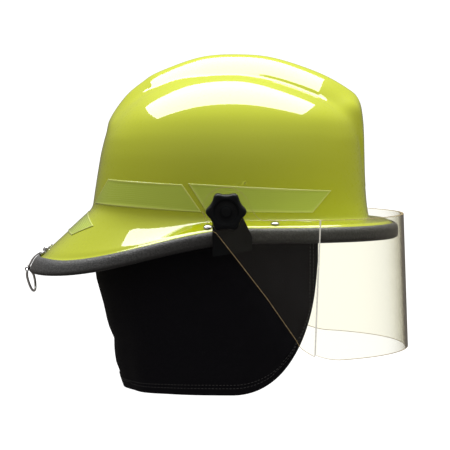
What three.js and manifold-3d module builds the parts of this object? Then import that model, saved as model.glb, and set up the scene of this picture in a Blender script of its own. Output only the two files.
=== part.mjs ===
// Traditional-style firefighter helmet: a raised-ridge crown with a long rear brim, a tilting
// face shield on two knobs, an ear and neck protector, and the suspension that sits on the head.
// Millimetres. +X is the wearer's front, +Y the wearer's left, +Z up.
// The origin is the centre of the head opening, level with the front brim edge.
import * as THREE from 'three';
import { LoftGeometry } from 'three/addons/geometries/LoftGeometry.js';
import { mergeVertices } from 'three/addons/utils/BufferGeometryUtils.js';
import Module from 'manifold-3d';

const wasm = await Module();
wasm.setup();

// Driving dimensions
const GAP = 0.35; // clearance between pieces that touch
const SHELL_WALL = 3;
const RING_STEPS = 40;
const BRIM_FRONT = 166;
const BRIM_REAR = 198.5;
const BRIM_SIDE = 132;
const BRIM_SQUARE = 2.4;
const REAR_DROP = 35; // how far the rear brim edge hangs below the front
const REAR_LEAN = 0.45; // outward lean of the edge trim at the rear, as a slope
const PIVOT = { x: -5, z: 24 };
const VISOR_WALL = 2.5;
const VISOR_SIDE = 139.5; // inner face of the flat visor wings
const VISOR_TOP = 15.5;
const VISOR_BOTTOM = -116.5;
const EAR_RADIUS = 22.5;
const BOLT_RADIUS = 3;
const BRACKET_FACE = 137.1;
const BRACKET_SEAT = 137.5;
const SEAT_RADIUS = 14;
const BRACKET_BACK = 132.9;
const HOOK_INNER = 115.5; // inner end of the bracket's foot under the brim
const CLAMP_SCREW = { x: 1, y: 126.5 };
const BOLT_END = 154.5;
const KNOB_FACE = 159.5;
const LINER_WALL = 12;
const CURTAIN_WALL = 3;
const CURTAIN_BOTTOM = -155;
const HEADBAND_WALL = 1.8;
const STRAP_WIDTH = 19;
const STRAP_WALL = 1.5;

// Crown profile: one entry per ring, from the base up to the pole.
const CROWN_FRONT = [[137.4, 11], [135.3, 25], [133.2, 50], [131.2, 75], [129.2, 96], [124, 111], [106, 125],
  [76, 139], [38, 152], [0, 158]];
const CROWN_REAR = [[138, 20], [135.5, 38], [132, 60], [128.5, 79], [123, 97], [113, 113], [95, 130],
  [68, 146], [38, 155], [0, 158]];
const CROWN_SIDE = [[107, 14], [106.3, 32], [104.5, 56], [101, 78], [94.5, 98], [84, 116], [67, 133],
  [45, 147], [22, 155.5], [0, 158]];
const CROWN_RINGS = CROWN_SIDE.length - 1;
const RIDGE_TOP = [[-122.6, 86], [-121.4, 106.8], [-105.4, 131.1], [-88, 146], [-71.1, 156.2],
  [-30, 170.5], [9, 173.2], [44.2, 169.4], [87.3, 155.1], [115.5, 139.8], [127, 128.6],
  [131.5, 107.5], [132.7, 75], [132.4, 42]];
// Half of the ridge's cross-section as half-width and depth below its top: a comb over the crown, which
// flattens to a low band where the ridge runs down the front and the back.
const RIDGE_COMB = [[8, 2], [19, 9.4], [30, 18.6], [37, 31]];
const RIDGE_BAND = [[12, 0.5], [21, 1.6], [27, 2.6], [36, 26]];

const material = (color, roughness, metalness = 0) =>
  new THREE.MeshStandardMaterial({ color, roughness, metalness });
const shellYellow = material(0xc9d42a, 0.15);
const trimCharcoal = material(0x34363a, 0.7);
const foamGrey = material(0x8d8f8c, 0.95);
const reflectiveLime = material(0xb4d455, 0.3);
const mouldedBlack = material(0x101417, 0.5);
const clearAmber = new THREE.MeshStandardMaterial({
  color: 0xfbf6c8, roughness: 0.05, metalness: 0, transparent: true, opacity: 0.35,
});
const chromeSteel = material(0xd6d8dc, 0.15, 1);
const curtainBlack = material(0x0c0c0e, 0.95);
const webbingBlack = material(0x17181a, 0.9);
const bandNylon = material(0x24262a, 0.5);
const padFabric = material(0x2b2c30, 0.95);

const helmet = new THREE.Group();

function addPiece(name, geometry, finish) {
  const mesh = new THREE.Mesh(geometry, finish);
  mesh.name = name;
  helmet.add(mesh);
  return mesh;
}

// ---------- solids ----------

function signedVolume(position, index) {
  const a = new THREE.Vector3();
  const b = new THREE.Vector3();
  const c = new THREE.Vector3();
  let sum = 0;
  for (let i = 0; i < index.length; i += 3) {
    a.fromBufferAttribute(position, index[i]);
    b.fromBufferAttribute(position, index[i + 1]);
    c.fromBufferAttribute(position, index[i + 2]);
    sum += a.dot(b.cross(c)) / 6;
  }
  return sum;
}

// Shared vertices, no collapsed triangles, faces pointing out.
function closed(geometry) {
  const bare = new THREE.BufferGeometry();
  bare.setAttribute('position', geometry.getAttribute('position').clone());
  bare.setIndex(geometry.index && Array.from(geometry.index.array));
  const merged = mergeVertices(bare, 1e-3);
  const all = merged.index.array;
  let index = [];
  for (let i = 0; i < all.length; i += 3) {
    const [a, b, c] = [all[i], all[i + 1], all[i + 2]];
    if (a !== b && b !== c && c !== a) index.push(a, b, c);
  }
  if (signedVolume(merged.attributes.position, index) < 0) index = index.reverse();
  merged.setIndex(index);
  return merged;
}

function toSolid(geometry) {
  const tidy = closed(geometry);
  return new wasm.Manifold(new wasm.Mesh({
    numProp: 3,
    vertProperties: tidy.attributes.position.array,
    triVerts: new Uint32Array(tidy.index.array),
  }));
}

function fromSolid(solid) {
  const mesh = solid.getMesh();
  const geometry = new THREE.BufferGeometry();
  geometry.setAttribute('position', new THREE.BufferAttribute(mesh.vertProperties, 3));
  geometry.setIndex(Array.from(mesh.triVerts));
  return geometry;
}

function join(...geometries) {
  return fromSolid(geometries.map(toSolid).reduce((whole, piece) => whole.add(piece)));
}

function cut(geometry, ...tools) {
  return fromSolid(tools.map(toSolid).reduce((whole, tool) => whole.subtract(tool), toSolid(geometry)));
}

// The largest of the bodies that a cut leaves, without the crumbs.
function mainBody(geometry) {
  const bodies = toSolid(geometry).decompose();
  return fromSolid(bodies.reduce((main, body) => (body.volume() > main.volume() ? body : main)));
}

function centroid(points) {
  return points.reduce((sum, point) => sum.add(point), new THREE.Vector3()).divideScalar(points.length);
}

// A capped loft; every section is turned the way that makes its walls face out.
function loft(sections) {
  const middle = centroid(sections[0]);
  const along = centroid(sections[1]).sub(middle);
  const normal = new THREE.Vector3();
  sections[0].forEach((point, i) => {
    const next = sections[0][(i + 1) % sections[0].length].clone().sub(middle);
    normal.add(point.clone().sub(middle).cross(next));
  });
  const turned = normal.dot(along) < 0 ? sections.map((section) => section.toReversed()) : sections;
  return new LoftGeometry(turned, { capStart: true, capEnd: true });
}

function box(width, depth, height, x, y, z) {
  return new THREE.BoxGeometry(width, depth, height).translate(x, y, z);
}

// A cylinder along Y.
function pinAlongY(radius, fromY, toY, x, z, sides = 20) {
  const pin = new THREE.CylinderGeometry(radius, radius, Math.abs(toY - fromY), sides);
  return pin.translate(x, (fromY + toY) / 2, z);
}

// A flat outline drawn in X and Z, made solid between two Y planes.
function plateXZ(shape, fromY, toY, curveSegments = 12) {
  const depth = Math.abs(toY - fromY);
  const plate = new THREE.ExtrudeGeometry(shape, { depth, bevelEnabled: false, curveSegments });
  return plate.rotateX(Math.PI / 2).translate(0, Math.max(fromY, toY), 0);
}

function polygon(points) {
  return new THREE.Shape(points.map(([x, y]) => new THREE.Vector2(x, y)));
}

// ---------- helmet surfaces ----------

const signedPower = (value, power) => Math.sign(value) * Math.abs(value) ** power;

function spline(points) {
  return new THREE.SplineCurve(points.map(([reach, z]) => new THREE.Vector2(reach, z)));
}
const frontProfile = spline(CROWN_FRONT);
const rearProfile = spline(CROWN_REAR);
const sideProfile = spline(CROWN_SIDE);

// Height of the brim edge's centre line: level in front, sweeping down to the rear tip.
function edgeHeight(x) {
  return -REAR_DROP * THREE.MathUtils.smoothstep((20 - x) / 210, 0, 1);
}

// Crown point: level runs from 0 at the base to 1 at the pole, turn from 0 at the front.
function crownPoint(turn, level) {
  const ahead = Math.cos(turn);
  const end = (ahead > 0 ? frontProfile : rearProfile).getPoint(level);
  const side = sideProfile.getPoint(level);
  const power = 2 / THREE.MathUtils.lerp(2.35, 2, level);
  return new THREE.Vector3(
    end.x * signedPower(ahead, power),
    side.x * signedPower(Math.sin(turn), power),
    side.y + (end.y - side.y) * ahead ** 2,
  );
}

// Point near the brim edge: inset inwards from the trim's outer line, height from its centre line.
function edgePoint(turn, inset, height) {
  const ahead = Math.cos(turn);
  const power = 2 / BRIM_SQUARE;
  const midX = (ahead > 0 ? BRIM_FRONT : BRIM_REAR) * signedPower(ahead, power);
  const lean = REAR_LEAN * THREE.MathUtils.smoothstep(-midX / BRIM_REAR, 0, 1);
  const inwards = inset + height * lean;
  const reach = (ahead > 0 ? BRIM_FRONT : BRIM_REAR) - inwards;
  return new THREE.Vector3(
    reach * signedPower(ahead, power),
    (BRIM_SIDE - inwards) * signedPower(Math.sin(turn), power),
    edgeHeight(midX) + height,
  );
}

function ring(pointAt, steps = RING_STEPS) {
  return Array.from({ length: steps }, (_, i) => pointAt((i / steps) * 2 * Math.PI));
}

// Rows of the shell's outer surface, from the pole out to the lip that enters the edge trim.
function shellRows() {
  const crown = Array.from({ length: CROWN_RINGS + 1 }, (_, i) => 1 - i / CROWN_RINGS);
  const rows = crown.map((level) => ring((turn) => crownPoint(turn, level)));
  for (const share of [0.2, 0.6]) {
    rows.push(ring((turn) => crownPoint(turn, 0).lerp(edgePoint(turn, 6.5, 9), share)
      .add(new THREE.Vector3(0, 0, share < 0.5 ? -0.6 : -0.3))));
  }
  return rows;
}

// Each row moved inwards, square to the surface.
function offsetRows(rows, distance) {
  return rows.map((row, i) => row.map((point, j) => {
    const before = rows[Math.max(i - 1, 0)];
    const after = rows[Math.min(i + 1, rows.length - 1)];
    if (i === 0) return point.clone().add(new THREE.Vector3(0, 0, -distance));
    const down = after[j].clone().sub(before[j]);
    const around = row[(j + 1) % row.length].clone().sub(row[(j + row.length - 1) % row.length]);
    return point.clone().addScaledVector(down.cross(around).normalize(), -distance);
  }));
}

const outerRows = shellRows();
const innerRows = offsetRows(outerRows, SHELL_WALL);

// ---------- shell ----------

function ridgeBand(shrink) {
  const path = spline(RIDGE_TOP);
  const sections = [];
  const steps = 22;
  for (let i = 0; i <= steps; i += 1) {
    const at = path.getPoint(i / steps);
    const along = path.getTangent(i / steps);
    const out = new THREE.Vector3(-along.y, 0, along.x);
    const top = new THREE.Vector3(at.x, 0, at.y).addScaledVector(out, -shrink);
    const comb = THREE.MathUtils.smoothstep(out.z, 0.3, 0.8);
    const half = RIDGE_COMB.map(([width, drop], step) => [
      THREE.MathUtils.lerp(RIDGE_BAND[step][0], width, comb) - shrink,
      THREE.MathUtils.lerp(RIDGE_BAND[step][1], drop, comb),
    ]);
    const corner = (y, drop) => top.clone().addScaledVector(out, -drop).setY(y);
    sections.push([
      ...half.toReversed().map(([y, drop]) => corner(-y, drop)),
      corner(0, 0),
      ...half.map(([y, drop]) => corner(y, drop)),
    ]);
  }
  return loft(sections);
}

// The space under a set of rows, closed by a floor that runs in to one point.
function cavity(rows) {
  const last = rows[rows.length - 1];
  return new LoftGeometry([...rows, last.map(() => new THREE.Vector3(0, 0, last[0].z))]);
}

function rivetFrame(x, side) {
  // Where a brim rivet sits: on the brim's slope, half way between crown and trim.
  let turn = Math.PI / 2;
  for (let i = 0; i < 30; i += 1) turn += (brimMiddle(turn).x - x) / 130;
  const at = brimMiddle(turn);
  const across = edgePoint(turn, 6.5, 9).sub(crownPoint(turn, 0)).normalize();
  const along = new THREE.Vector3(1, 0, 0);
  const normal = along.cross(across).normalize();
  if (normal.z < 0) normal.negate();
  return { at: new THREE.Vector3(at.x, at.y * side, at.z), normal: normal.setY(normal.y * side) };
}

function brimMiddle(turn) {
  return crownPoint(turn, 0).lerp(edgePoint(turn, 6.5, 9), 0.5);
}

// A cylinder or lathe drawn along Y, stood on a point along a given direction.
function standOn(geometry, at, direction) {
  const turnTo = new THREE.Quaternion().setFromUnitVectors(new THREE.Vector3(0, 1, 0), direction);
  return geometry.applyQuaternion(turnTo).translate(at.x, at.y, at.z);
}

const RIVETS = [
  { name: 'brim_rivet_front_right', x: 41, side: -1 },
  { name: 'brim_rivet_rear_right', x: -22, side: -1 },
  { name: 'brim_rivet_front_left', x: 41, side: 1 },
  { name: 'brim_rivet_rear_left', x: -22, side: 1 },
];

function buildShell() {
  const lipOuter = [[4.8, 8.6], [4.8, -3]].map(([inset, height]) =>
    ring((turn) => edgePoint(turn, inset, height)));
  const lipInner = [[7.2, -3], [7.2, 5.6]].map(([inset, height]) =>
    ring((turn) => edgePoint(turn, inset, height)));
  const wall = new LoftGeometry([...outerRows, ...lipOuter, ...lipInner, ...innerRows.toReversed()]);
  const midWall = offsetRows(outerRows, SHELL_WALL / 2).slice(0, CROWN_RINGS + 1);
  const ridge = cut(ridgeBand(0), cavity(midWall));
  const holes = RIVETS.map(({ x, side }) => {
    const { at, normal } = rivetFrame(x, side);
    return standOn(new THREE.CylinderGeometry(2.4, 2.4, 16, 12), at, normal);
  });
  const hollowRidge = ridgeBand(SHELL_WALL);
  const shell = cut(join(wall, ridge), hollowRidge, clipRivetHole(), ...holes);
  addPiece('shell', mainBody(shell), shellYellow);
}

function buildEdgeTrim() {
  // Round-shouldered channel whose slot takes the shell's lip from above.
  const section = [[4.3, 7.4], [1.7, 6.2], [0.3, 3.4], [0, 0], [0, -4.6], [0.9, -6.6], [2.8, -7.4],
    [7, -7.4], [8.4, -6.4], [9.2, -4.6], [9.2, 2], [7.7, 3.4], [7.7, -3.5], [4.3, -3.5]];
  const sections = ring((turn) => section.map(([inset, height]) => edgePoint(turn, inset, height)), 44);
  addPiece('edge_trim', new LoftGeometry([...sections, sections[0]]), trimCharcoal);
}

// ---------- reflective panels ----------

// Half-width of the crown at a given x and z, moved out square to the side by a small distance.
function crownSideY(x, z) {
  let low = 0;
  let high = 0.9;
  let turn = Math.PI / 2;
  for (let i = 0; i < 40; i += 1) {
    const level = (low + high) / 2;
    const reach = (x > 0 ? frontProfile : rearProfile).getPoint(level).x;
    const power = THREE.MathUtils.lerp(2.35, 2, level) / 2;
    turn = Math.acos(THREE.MathUtils.clamp(signedPower(x / reach, power), -1, 1));
    if (crownPoint(turn, level).z < z) low = level;
    else high = level;
  }
  return crownPoint(turn, low).y;
}

function sidePanel(corners, side) {
  // corners: rear top, front top, front bottom, rear bottom, each as x and z
  const [rearTop, frontTop, frontBottom, rearBottom] = corners.map(([x, z]) => new THREE.Vector2(x, z));
  const sections = [];
  const columns = 8;
  for (let i = 0; i <= columns; i += 1) {
    const top = rearTop.clone().lerp(frontTop, i / columns);
    const bottom = rearBottom.clone().lerp(frontBottom, i / columns);
    const face = (offset) => [0, 0.34, 0.67, 1].map((share) => {
      const at = bottom.clone().lerp(top, share);
      return new THREE.Vector3(at.x, side * (crownSideY(at.x, at.y) + offset), at.y);
    });
    sections.push([...face(0.8), ...face(1.5).reverse()]);
  }
  return loft(sections);
}

function brimPanel() {
  const sections = [];
  const columns = 8;
  for (let i = 0; i <= columns; i += 1) {
    const turn = Math.PI + THREE.MathUtils.degToRad(THREE.MathUtils.lerp(-21, 21, i / columns));
    const on = (share, lift) => crownPoint(turn, 0).lerp(edgePoint(turn, 6.5, 9), share)
      .add(new THREE.Vector3(-0.65 * lift, 0, 0.75 * lift));
    sections.push([on(0.12, 0.6), on(0.62, 0.6), on(0.62, 1.3), on(0.12, 1.3)]);
  }
  return loft(sections);
}

function buildReflectivePanels() {
  const rearCorners = [[-118, 51], [-46, 47.5], [-28, 21], [-122, 27]];
  const frontCorners = [[-41, 48], [94, 41], [75, 20], [-23, 21]];
  for (const [label, side] of [['right', -1], ['left', 1]]) {
    addPiece(`reflective_panel_rear_${label}`, sidePanel(rearCorners, side), reflectiveLime);
    addPiece(`reflective_panel_front_${label}`, sidePanel(frontCorners, side), reflectiveLime);
  }
  addPiece('reflective_panel_brim', brimPanel(), reflectiveLime);
}

// ---------- visor and its pivots ----------

const pivotHole = (radius) => new THREE.Path().absarc(PIVOT.x, PIVOT.z, radius, 0, 2 * Math.PI, true);

// Lower edge of the visor, rounding up towards the flat wings.
const visorBottomAt = (x) => VISOR_BOTTOM + 0.008 * Math.max(0, 105 - x) ** 2;

// The fold between wing and curved front, from the top edge to the bottom edge.
const creaseX = (z) => 85 - 5 * (VISOR_TOP - z) / (VISOR_TOP - VISOR_BOTTOM);

function visorFront() {
  const sections = [];
  const steps = 26;
  const edge = (sweep, z, wall) => {
    // slightly wider at the bottom, so the sheet is part of a cone
    const low = (VISOR_TOP - z) / (VISOR_TOP - VISOR_BOTTOM);
    const length = 127 + 5 * low;
    const startShare = (creaseX(z) - 45) / length;
    const width = (VISOR_SIDE + VISOR_WALL) / Math.sqrt(1 - startShare ** 2);
    const angle = THREE.MathUtils.lerp(-1, 1, sweep) * Math.acos(startShare);
    return new THREE.Vector3(
      45 + (length - wall) * Math.cos(angle),
      (width - wall) * Math.sin(angle),
      z,
    );
  };
  for (let i = 0; i <= steps; i += 1) {
    const sweep = i / steps;
    const bottom = visorBottomAt(edge(sweep, VISOR_BOTTOM, 0).x);
    sections.push([
      edge(sweep, VISOR_TOP, 0),
      edge(sweep, VISOR_TOP, VISOR_WALL),
      edge(sweep, bottom, VISOR_WALL),
      edge(sweep, bottom, 0),
    ]);
  }
  return loft(sections);
}

function visorWingOutline() {
  const lap = 0.8; // overlap that fuses the wing to the curved front
  const outline = new THREE.Shape();
  outline.moveTo(creaseX(VISOR_TOP) + lap, VISOR_TOP);
  outline.lineTo(30, VISOR_TOP);
  outline.quadraticCurveTo(20, VISOR_TOP, PIVOT.x + 20.5, PIVOT.z + 9.3);
  outline.absarc(PIVOT.x, PIVOT.z, EAR_RADIUS, 0.425, Math.PI + 1.15, false);
  outline.lineTo(5.7, -22);
  outline.lineTo(33, -57.5);
  outline.lineTo(60.5, -97);
  for (const x of [66, 73]) outline.lineTo(x, visorBottomAt(x));
  outline.lineTo(creaseX(VISOR_BOTTOM) + lap, visorBottomAt(80));
  outline.holes.push(pivotHole(BOLT_RADIUS + 0.5));
  return outline;
}

function buildVisor() {
  const wing = visorWingOutline();
  const outer = VISOR_SIDE + VISOR_WALL;
  const right = plateXZ(wing, -outer, -VISOR_SIDE);
  const left = plateXZ(wing, VISOR_SIDE, outer);
  addPiece('visor', join(visorFront(), right, left), clearAmber);
}

function bracketPlate() {
  const plate = new THREE.Shape();
  plate.moveTo(-18, PIVOT.z - 6);
  plate.lineTo(-17.6, -18.6);
  plate.lineTo(19.4, -12.6);
  plate.lineTo(19.4, 0);
  plate.lineTo(10.2, 19);
  plate.absarc(PIVOT.x, PIVOT.z, 14.8, -0.3, Math.PI + 0.45, false);
  plate.holes.push(pivotHole(BOLT_RADIUS + GAP));
  return plate;
}

function buildBracket(label, side) {
  const at = (y) => side * y;
  const plate = plateXZ(bracketPlate(), at(BRACKET_BACK), at(BRACKET_FACE));
  // The washer bears on a low round seat, so the face below it stays clear.
  const disc = new THREE.Shape().absarc(PIVOT.x, PIVOT.z, SEAT_RADIUS, 0, 2 * Math.PI);
  disc.holes.push(pivotHole(BOLT_RADIUS + GAP));
  const seat = plateXZ(disc, at(BRACKET_BACK + 1), at(BRACKET_SEAT), 20);
  // The hook that wraps under the brim edge, with a wedge-shaped foot that follows the plate's bottom.
  const foot = polygon([[-17.6, -18.6], [19.4, -12.6], [19.4, -9.2], [-17.6, -13.2]]);
  const hook = plateXZ(foot, at(HOOK_INNER), at(BRACKET_FACE - 0.5));
  const upstand = plateXZ(polygon([[-15, -14], [17, -11], [17, 3], [-15, 2]]), at(HOOK_INNER), at(HOOK_INNER + 4));
  const screwHole = new THREE.CylinderGeometry(2.3, 2.3, 20, 14).rotateX(Math.PI / 2);
  screwHole.translate(CLAMP_SCREW.x, at(CLAMP_SCREW.y), -14);
  const headPocket = new THREE.CylinderGeometry(4.6, 4.6, 6, 18).rotateX(Math.PI / 2);
  headPocket.translate(CLAMP_SCREW.x, at(CLAMP_SCREW.y), -16.4);
  addPiece(`visor_bracket_${label}`, cut(join(plate, seat, hook, upstand), screwHole, headPocket), mouldedBlack);
  const shank = new THREE.CylinderGeometry(1.9, 1.9, 5.6, 14).rotateX(Math.PI / 2);
  shank.translate(CLAMP_SCREW.x, at(CLAMP_SCREW.y), -11.6);
  const head = new THREE.CylinderGeometry(4, 4, 1.8, 14).rotateX(Math.PI / 2);
  head.translate(CLAMP_SCREW.x, at(CLAMP_SCREW.y), -14.7);
  addPiece(`bracket_screw_${label}`, join(shank, head), chromeSteel);
}

function buildPivot(label, side) {
  const at = (y) => side * y;
  const shank = pinAlongY(BOLT_RADIUS, at(BRACKET_BACK - 2), at(BOLT_END), PIVOT.x, PIVOT.z, 24);
  const head = pinAlongY(7, at(BRACKET_BACK - 4), at(BRACKET_BACK - GAP), PIVOT.x, PIVOT.z, 6);
  addPiece(`pivot_bolt_${label}`, join(shank, head), chromeSteel);
  const disc = new THREE.Shape().absarc(PIVOT.x, PIVOT.z, 13, 0, 2 * Math.PI);
  disc.holes.push(pivotHole(BOLT_RADIUS + GAP));
  const washer = plateXZ(disc, at(BRACKET_SEAT + GAP), at(VISOR_SIDE - GAP), 16);
  addPiece(`friction_washer_${label}`, washer, bandNylon);
}

// Six-lobed clamping knob on the end of the pivot bolt.
function buildKnob(label, side) {
  const outline = new THREE.Shape();
  const points = 42;
  for (let i = 0; i <= points; i += 1) {
    const angle = (i / points) * 2 * Math.PI;
    const radius = 17.4 + 1.6 * Math.cos(6 * angle);
    const x = PIVOT.x + radius * Math.cos(angle);
    const z = PIVOT.z + radius * Math.sin(angle);
    if (i) outline.lineTo(x, z);
    else outline.moveTo(x, z);
  }
  const at = (y) => side * y;
  const inner = VISOR_SIDE + VISOR_WALL + 0.5;
  const body = plateXZ(outline, at(inner), at(KNOB_FACE));
  const bore = pinAlongY(BOLT_RADIUS + 0.4, at(inner - 1), at(BOLT_END + 1), PIVOT.x, PIVOT.z, 24);
  const dish = pinAlongY(11, at(KNOB_FACE - 2), at(KNOB_FACE + 1), PIVOT.x, PIVOT.z, 28);
  addPiece(`knob_${label}`, cut(body, bore, dish), mouldedBlack);
}

// ---------- brim fittings ----------

function buildRivets() {
  for (const { name, x, side } of RIVETS) {
    const { at, normal } = rivetFrame(x, side);
    const profile = [[0, -6], [2, -6], [2, 0.9], [4.5, 0.9], [4.2, 2], [2.6, 3], [0, 3.4]];
    const rivet = new THREE.LatheGeometry(profile.map(([r, y]) => new THREE.Vector2(r, y)), 14);
    addPiece(name, standOn(rivet, at, normal), chromeSteel);
  }
}

const CLIP_RIVET_X = -183.4;
const KNUCKLE = { x: -203.4, z: -40.4, bore: 1.5, radius: 2.4 };
const RING_WIRE = 1.15;

// Top of the brim on the centre line behind the crown.
function brimHeightBehind(x) {
  const from = crownPoint(Math.PI, 0);
  const to = edgePoint(Math.PI, 6.5, 9);
  return THREE.MathUtils.lerp(from.z, to.z, (x - from.x) / (to.x - from.x));
}

function rearBrimNormal() {
  const slope = brimHeightBehind(1) - brimHeightBehind(0);
  return new THREE.Vector3(-slope, 0, 1).normalize();
}

function clipRivetSeat() {
  return new THREE.Vector3(CLIP_RIVET_X, 0, brimHeightBehind(CLIP_RIVET_X));
}

function clipRivetHole() {
  return standOn(new THREE.CylinderGeometry(2.4, 2.4, 20, 12), clipRivetSeat(), rearBrimNormal());
}

// Sheet-metal clip: riveted to the rear brim, over the trim, and curled round the ring's bar.
function buildRingClip() {
  const wall = 1.4;
  const seat = (x) => brimHeightBehind(x) + 1.7;
  const line = [[-178.5, seat(-178.5)], [-186.5, seat(-186.5)], [-192, -26.2], [-195.3, -28.4],
    [-197.9, -31.6], [-199.8, -35], [-201.9, -38.9]];
  const outer = line.map(([x, z], i) => {
    const [backX, backZ] = line[Math.max(i - 1, 0)];
    const [nextX, nextZ] = line[Math.min(i + 1, line.length - 1)];
    const length = Math.hypot(nextX - backX, nextZ - backZ);
    return [x + wall * (nextZ - backZ) / length, z - wall * (nextX - backX) / length];
  });
  const strip = plateXZ(polygon([...line, ...outer.reverse()]), -7, 7);
  const curl = new THREE.Shape().absarc(KNUCKLE.x, KNUCKLE.z, KNUCKLE.radius, 0, 2 * Math.PI);
  const bore = pinAlongY(KNUCKLE.bore, -8, 8, KNUCKLE.x, KNUCKLE.z, 16);
  const clip = cut(join(strip, plateXZ(curl, -7, 7, 16)), bore, clipRivetHole());
  addPiece('ring_clip', clip, chromeSteel);
  const profile = [[0, -6], [2, -6], [2, 3.1], [3.4, 3.1], [3.1, 4.2], [1.8, 4.9], [0, 5.1]];
  const rivet = new THREE.LatheGeometry(profile.map(([r, y]) => new THREE.Vector2(r, y)), 14);
  addPiece('clip_rivet', standOn(rivet, clipRivetSeat(), rearBrimNormal()), chromeSteel);
}

// D-shaped wire ring, hanging from the clip's curl and twisted a little in it.
function buildDRing() {
  const half = 12;
  const tilt = THREE.MathUtils.degToRad(13);
  const flat = [[0, 0], [8, 0], [half - 1, -1.2], [half, -5], [half - 0.6, -12], [9, -18.5], [4, -22.4]];
  const loop = [...flat, ...flat.slice(1).reverse().map(([y, drop]) => [-y, drop])];
  loop.splice(flat.length, 0, [0, -23]);
  const points = loop.map(([y, drop]) => {
    const twist = 0.2 * (y + 9) * THREE.MathUtils.smoothstep(-drop, 0, 9);
    return new THREE.Vector3(
      KNUCKLE.x + twist - drop * Math.sin(tilt),
      y,
      KNUCKLE.z + drop * Math.cos(tilt),
    );
  });
  const path = new THREE.CatmullRomCurve3(points, true);
  const section = new THREE.Shape().absarc(0, 0, RING_WIRE, 0, 2 * Math.PI);
  const ringSolid = new THREE.ExtrudeGeometry(section, {
    extrudePath: path, steps: 34, curveSegments: 4,
  });
  addPiece('d_ring', closed(ringSolid), chromeSteel);
}

// ---------- ear and neck protector ----------

// Front corner of the cloth: a soft square corner reaching up to the front edge.
function curtainBottomAt(x) {
  if (x <= 0) return CURTAIN_BOTTOM;
  const share = Math.min(x / 82, 1);
  return -20 + (CURTAIN_BOTTOM + 20) * (1 - share ** 2.17) ** (1 / 2.17);
}

function curtainPoint(turn, z, inset) {
  const fall = THREE.MathUtils.clamp(-z / -CURTAIN_BOTTOM, 0, 1);
  const rear = 143.5 - 32.5 * fall - inset;
  const side = 103.5 - 7 * fall - inset;
  const ahead = Math.cos(turn);
  const power = 2 / 2.4;
  return new THREE.Vector3(
    (ahead > 0 ? 136 - inset : rear) * signedPower(ahead, power),
    side * signedPower(Math.sin(turn), power),
    z,
  );
}

function buildCurtain() {
  const sections = [];
  const steps = 30;
  const open = 0.98; // half-angle of the open front, in radians
  for (let i = 0; i <= steps; i += 1) {
    const turn = THREE.MathUtils.lerp(open, 2 * Math.PI - open, i / steps);
    const top = curtainPoint(turn, 0, 0);
    const topZ = Math.min(2, edgeHeight(top.x) + 8) - 4 * THREE.MathUtils.smoothstep(top.x, 20, 82);
    const bottomZ = curtainBottomAt(Math.min(top.x, 81.9));
    const levels = [0, 0.35, 0.7, 1].map((share) => THREE.MathUtils.lerp(topZ, bottomZ, share));
    sections.push([
      ...levels.map((z) => curtainPoint(turn, z, 0)),
      ...levels.toReversed().map((z) => curtainPoint(turn, z, CURTAIN_WALL)),
    ]);
  }
  const cloth = loft(sections);
  addPiece('ear_neck_protector', cloth, curtainBlack);
}

// ---------- inside: liner and suspension ----------

function buildImpactLiner() {
  const hem = ring((turn) => crownPoint(turn, 1.45 / CROWN_RINGS));
  const rows = [...outerRows.slice(0, CROWN_RINGS - 1), hem];
  const outer = offsetRows(rows, SHELL_WALL + 1.2);
  const inner = offsetRows(rows, SHELL_WALL + LINER_WALL);
  const foam = new LoftGeometry([...outer, ...inner.toReversed()]);
  addPiece('impact_liner', closed(foam), foamGrey);
}

const KEY_ANGLES = [
  { name: 'front_left', angle: 38 },
  { name: 'side_left', angle: 90 },
  { name: 'rear_left', angle: 142 },
  { name: 'rear_right', angle: 218 },
  { name: 'side_right', angle: 270 },
  { name: 'front_right', angle: 322 },
];
const KEY_Z = 25;
const KEY_DEPTH = 10;

// Where the shell's inner wall is, looking out from the centre at a compass angle.
function innerWallRadius(angle) {
  let turn = THREE.MathUtils.degToRad(angle);
  const wanted = turn;
  for (let i = 0; i < 20; i += 1) {
    const at = crownPoint(turn, 0.5 / CROWN_RINGS);
    const here = Math.atan2(at.y, at.x);
    const error = Math.atan2(Math.sin(wanted - here), Math.cos(wanted - here));
    turn += error * 0.8;
  }
  const at = crownPoint(turn, 0.5 / CROWN_RINGS);
  const skew = 5 * Math.abs(Math.sin(2 * wanted)); // the wall runs askew to the diagonals
  return Math.hypot(at.x, at.y) - SHELL_WALL - 2.2 - skew;
}

function headbandPoint(turn, offset, z) {
  const ahead = Math.cos(turn);
  const power = 2 / 2.3;
  return new THREE.Vector3(
    (ahead > 0 ? 99 + offset : 91 + offset) * signedPower(ahead, power),
    (78 + offset) * signedPower(Math.sin(turn), power),
    z,
  );
}

function headbandRadius(angle) {
  const turn = THREE.MathUtils.degToRad(angle);
  let best = headbandPoint(turn, HEADBAND_WALL, 0);
  let probe = turn;
  for (let i = 0; i < 20; i += 1) {
    best = headbandPoint(probe, HEADBAND_WALL, 0);
    const here = Math.atan2(best.y, best.x);
    probe += 0.8 * Math.atan2(Math.sin(turn - here), Math.cos(turn - here));
  }
  return Math.hypot(best.x, best.y);
}

function buildSuspensionKeys() {
  for (const { name, angle } of KEY_ANGLES) {
    const outer = innerWallRadius(angle);
    const inner = headbandRadius(angle) + 2.4;
    const block = box(KEY_DEPTH, 26, 11, outer - KEY_DEPTH / 2, 0, KEY_Z);
    const arm = box(outer - inner, 12, 2.4, (outer + inner) / 2, 0, KEY_Z - 5);
    const tab = box(2.2, 14, 12, inner + 1.1, 0, KEY_Z - 9);
    const key = join(block, arm, tab);
    key.rotateZ(THREE.MathUtils.degToRad(angle));
    addPiece(`suspension_key_${name}`, key, bandNylon);
  }
}

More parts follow.
